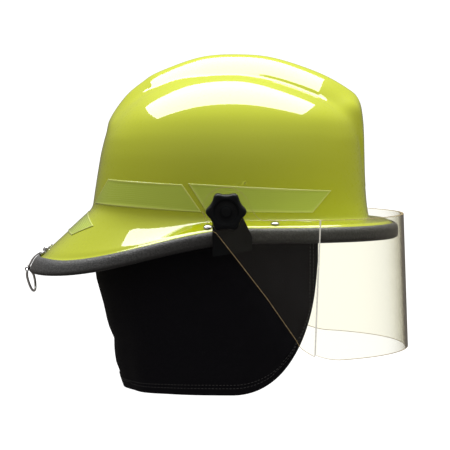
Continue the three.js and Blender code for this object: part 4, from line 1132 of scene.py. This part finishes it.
def build_pads():
    half_turn = 1.17
    turn = np.linspace(-half_turn, half_turn, 90)[:, None]
    z = np.linspace(1.2, 26.8, 14)[None, :]
    lobes = 0.5 + 0.5 * np.abs(np.sin(turn / half_turn * math.pi * 2.5)) ** 0.5
    crowned = (1 - ((z - 14) / 13.2) ** 4) * lobes
    brow = slab("brow_cushion", brow_line(turn, -0.8, z), brow_line(turn, -1.8 - 2.3 * crowned, z), KNIT,
                node="brow_pad")
    swell(brow, 0.7, 1.8)
    disc = [(0, 99.6), (20, 99.3), (33, 99.6), (36.4, 101), (33, 103.2), (20, 104.6), (0, 105.4)]
    top = make("crown_cushion", *turned(disc, 56), KNIT, node="crown_pad")
    swell(top, 1.0, 2.2)
    disc = [(0, 0.6), (20, 0.7), (22.6, 1.9), (19.5, 3.7), (10, 4.5), (0, 4.7)]
    shape = turned(disc, 56, (CRADLE_REAR + 6, 0, -1), (1, 0, 0), (0, 0, 1), (0.62, 1.35, 1))
    nape = make("nape_cushion", *shape, KNIT, body="nape_cradle", node="nape_pad")
    swell(nape, 0.6, 1.8)


# --- stage, in metres

PAPER_WHITE = 1.12
# What the shell mirrors, from straight below to straight above.
ROOM_TONES = [(0.0, (0.16, 0.15, 0.14)), (0.47, (0.16, 0.145, 0.13)), (0.56, (0.2, 0.18, 0.165)),
              (0.72, (0.34, 0.33, 0.31)), (1.0, (0.55, 0.55, 0.53))]


def aim(obj, at, target):
    obj.location = at
    obj.rotation_euler = (Vector(target) - Vector(at)).to_track_quat("-Z", "Y").to_euler()


def build_camera():
    data = bpy.data.cameras.new("photo_camera")
    data.sensor_width = 36
    data.lens = 161.3
    camera = linked("photo_camera", data)
    aim(camera, (-0.006, -2.013, 0.120), (-0.006, 0, 0.003))
    bpy.context.scene.camera = camera
    bpy.context.scene.view_settings.view_transform = "Standard"


def build_floor():
    """Glowing white paper that only the camera sees."""
    reach, floor_z = 30.0, cad_low[2] - 0.001
    corners = [(x * reach, y * reach, floor_z) for x, y in ((-1, -1), (1, -1), (1, 1), (-1, 1))]
    mesh = bpy.data.meshes.new("studio_floor")
    mesh.from_pydata(corners, [], [[0, 1, 2, 3]])
    floor = linked("studio_floor", mesh)
    paper = Finish("studio_paper", (0.04, 0.04, 0.04), 0.9, emission_color=(1, 1, 1, 1),
                   emission_strength=PAPER_WHITE)
    paper.material.cycles.emission_sampling = "NONE"
    mesh.materials.append(paper.material)
    floor.visible_glossy = floor.visible_diffuse = floor.visible_transmission = False


def build_room():
    """The world: dim tones for reflections, a soft fill for diffuse light, white for what is looked at."""
    world = bpy.data.worlds.new("studio")
    world.use_nodes = True
    room = Nodes(world.node_tree)
    rays = room.node("ShaderNodeLightPath").outputs
    ahead, _, upward = room.axes(room.where("Generated"))
    tones = room.node("ShaderNodeValToRGB", {0: room.math("MULTIPLY_ADD", upward, 0.5, 0.5)})
    stops = tones.color_ramp.elements
    for spot, (position, color) in enumerate(ROOM_TONES):
        stop = stops[spot] if spot < 2 else stops.new(position)
        stop.position = position
        stop.color = (*color, 1)
    # rays that pass straight through the visor see the white room; those it bounces inside don't
    straight = room.math("LESS_THAN", rays["Glossy Depth"], 0.5)
    through = room.math("MULTIPLY", rays["Is Transmission Ray"], straight)
    seen = room.math("MAXIMUM", rays["Is Camera Ray"], through)
    # the fill is a little stronger from the wearer's front
    fill = room.math("MULTIPLY_ADD", ahead, 0.45, 1.75)
    glow = room.tree.nodes["Background"].inputs
    room.tree.links.new(room.blend(seen, tones.outputs[0], (PAPER_WHITE,) * 3), glow["Color"])
    strength = room.node("ShaderNodeMix", {0: rays["Is Diffuse Ray"], 2: 1.0, 3: fill}).outputs[0]
    room.tree.links.new(strength, glow["Strength"])
    bpy.context.scene.world = world


def build_softbox():
    data = bpy.data.lights.new("top_softbox", "AREA")
    data.shape = "RECTANGLE"
    data.size, data.size_y = 1.49, 0.77
    data.energy = 23
    aim(linked("top_softbox", data), (-0.10, 0.27, 1.15), (-0.10, 0.27, 0.0))


def finish_carried_nodes():
    """Give every CAD node that stays in view its real finish."""
    finishes = {"bracket_screw": CHROME, "suspension_key": NYLON, "chin_strap_loop": BLACK, "buckle": BLACK,
                "headband": NYLON, "nape_cradle": NYLON, "ratchet_knob": BLACK}
    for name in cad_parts:
        obj = bpy.data.objects.get(name)
        for start, material in finishes.items():
            if obj and name.startswith(start):
                for held in obj.material_slots:
                    held.material = material


build_camera()
build_floor()
build_room()
build_softbox()
build_shell()
build_trim()
build_panels()
build_visor()
for label, side in SIDES:
    build_knob(label, side)
    build_bracket(label, side)
    build_bolt(label, side)
build_rivets()
build_clip()
build_ring()
build_hem(*build_protector())
build_liner()
build_crown_straps()
build_chin_strap()
build_pads()
finish_carried_nodes()
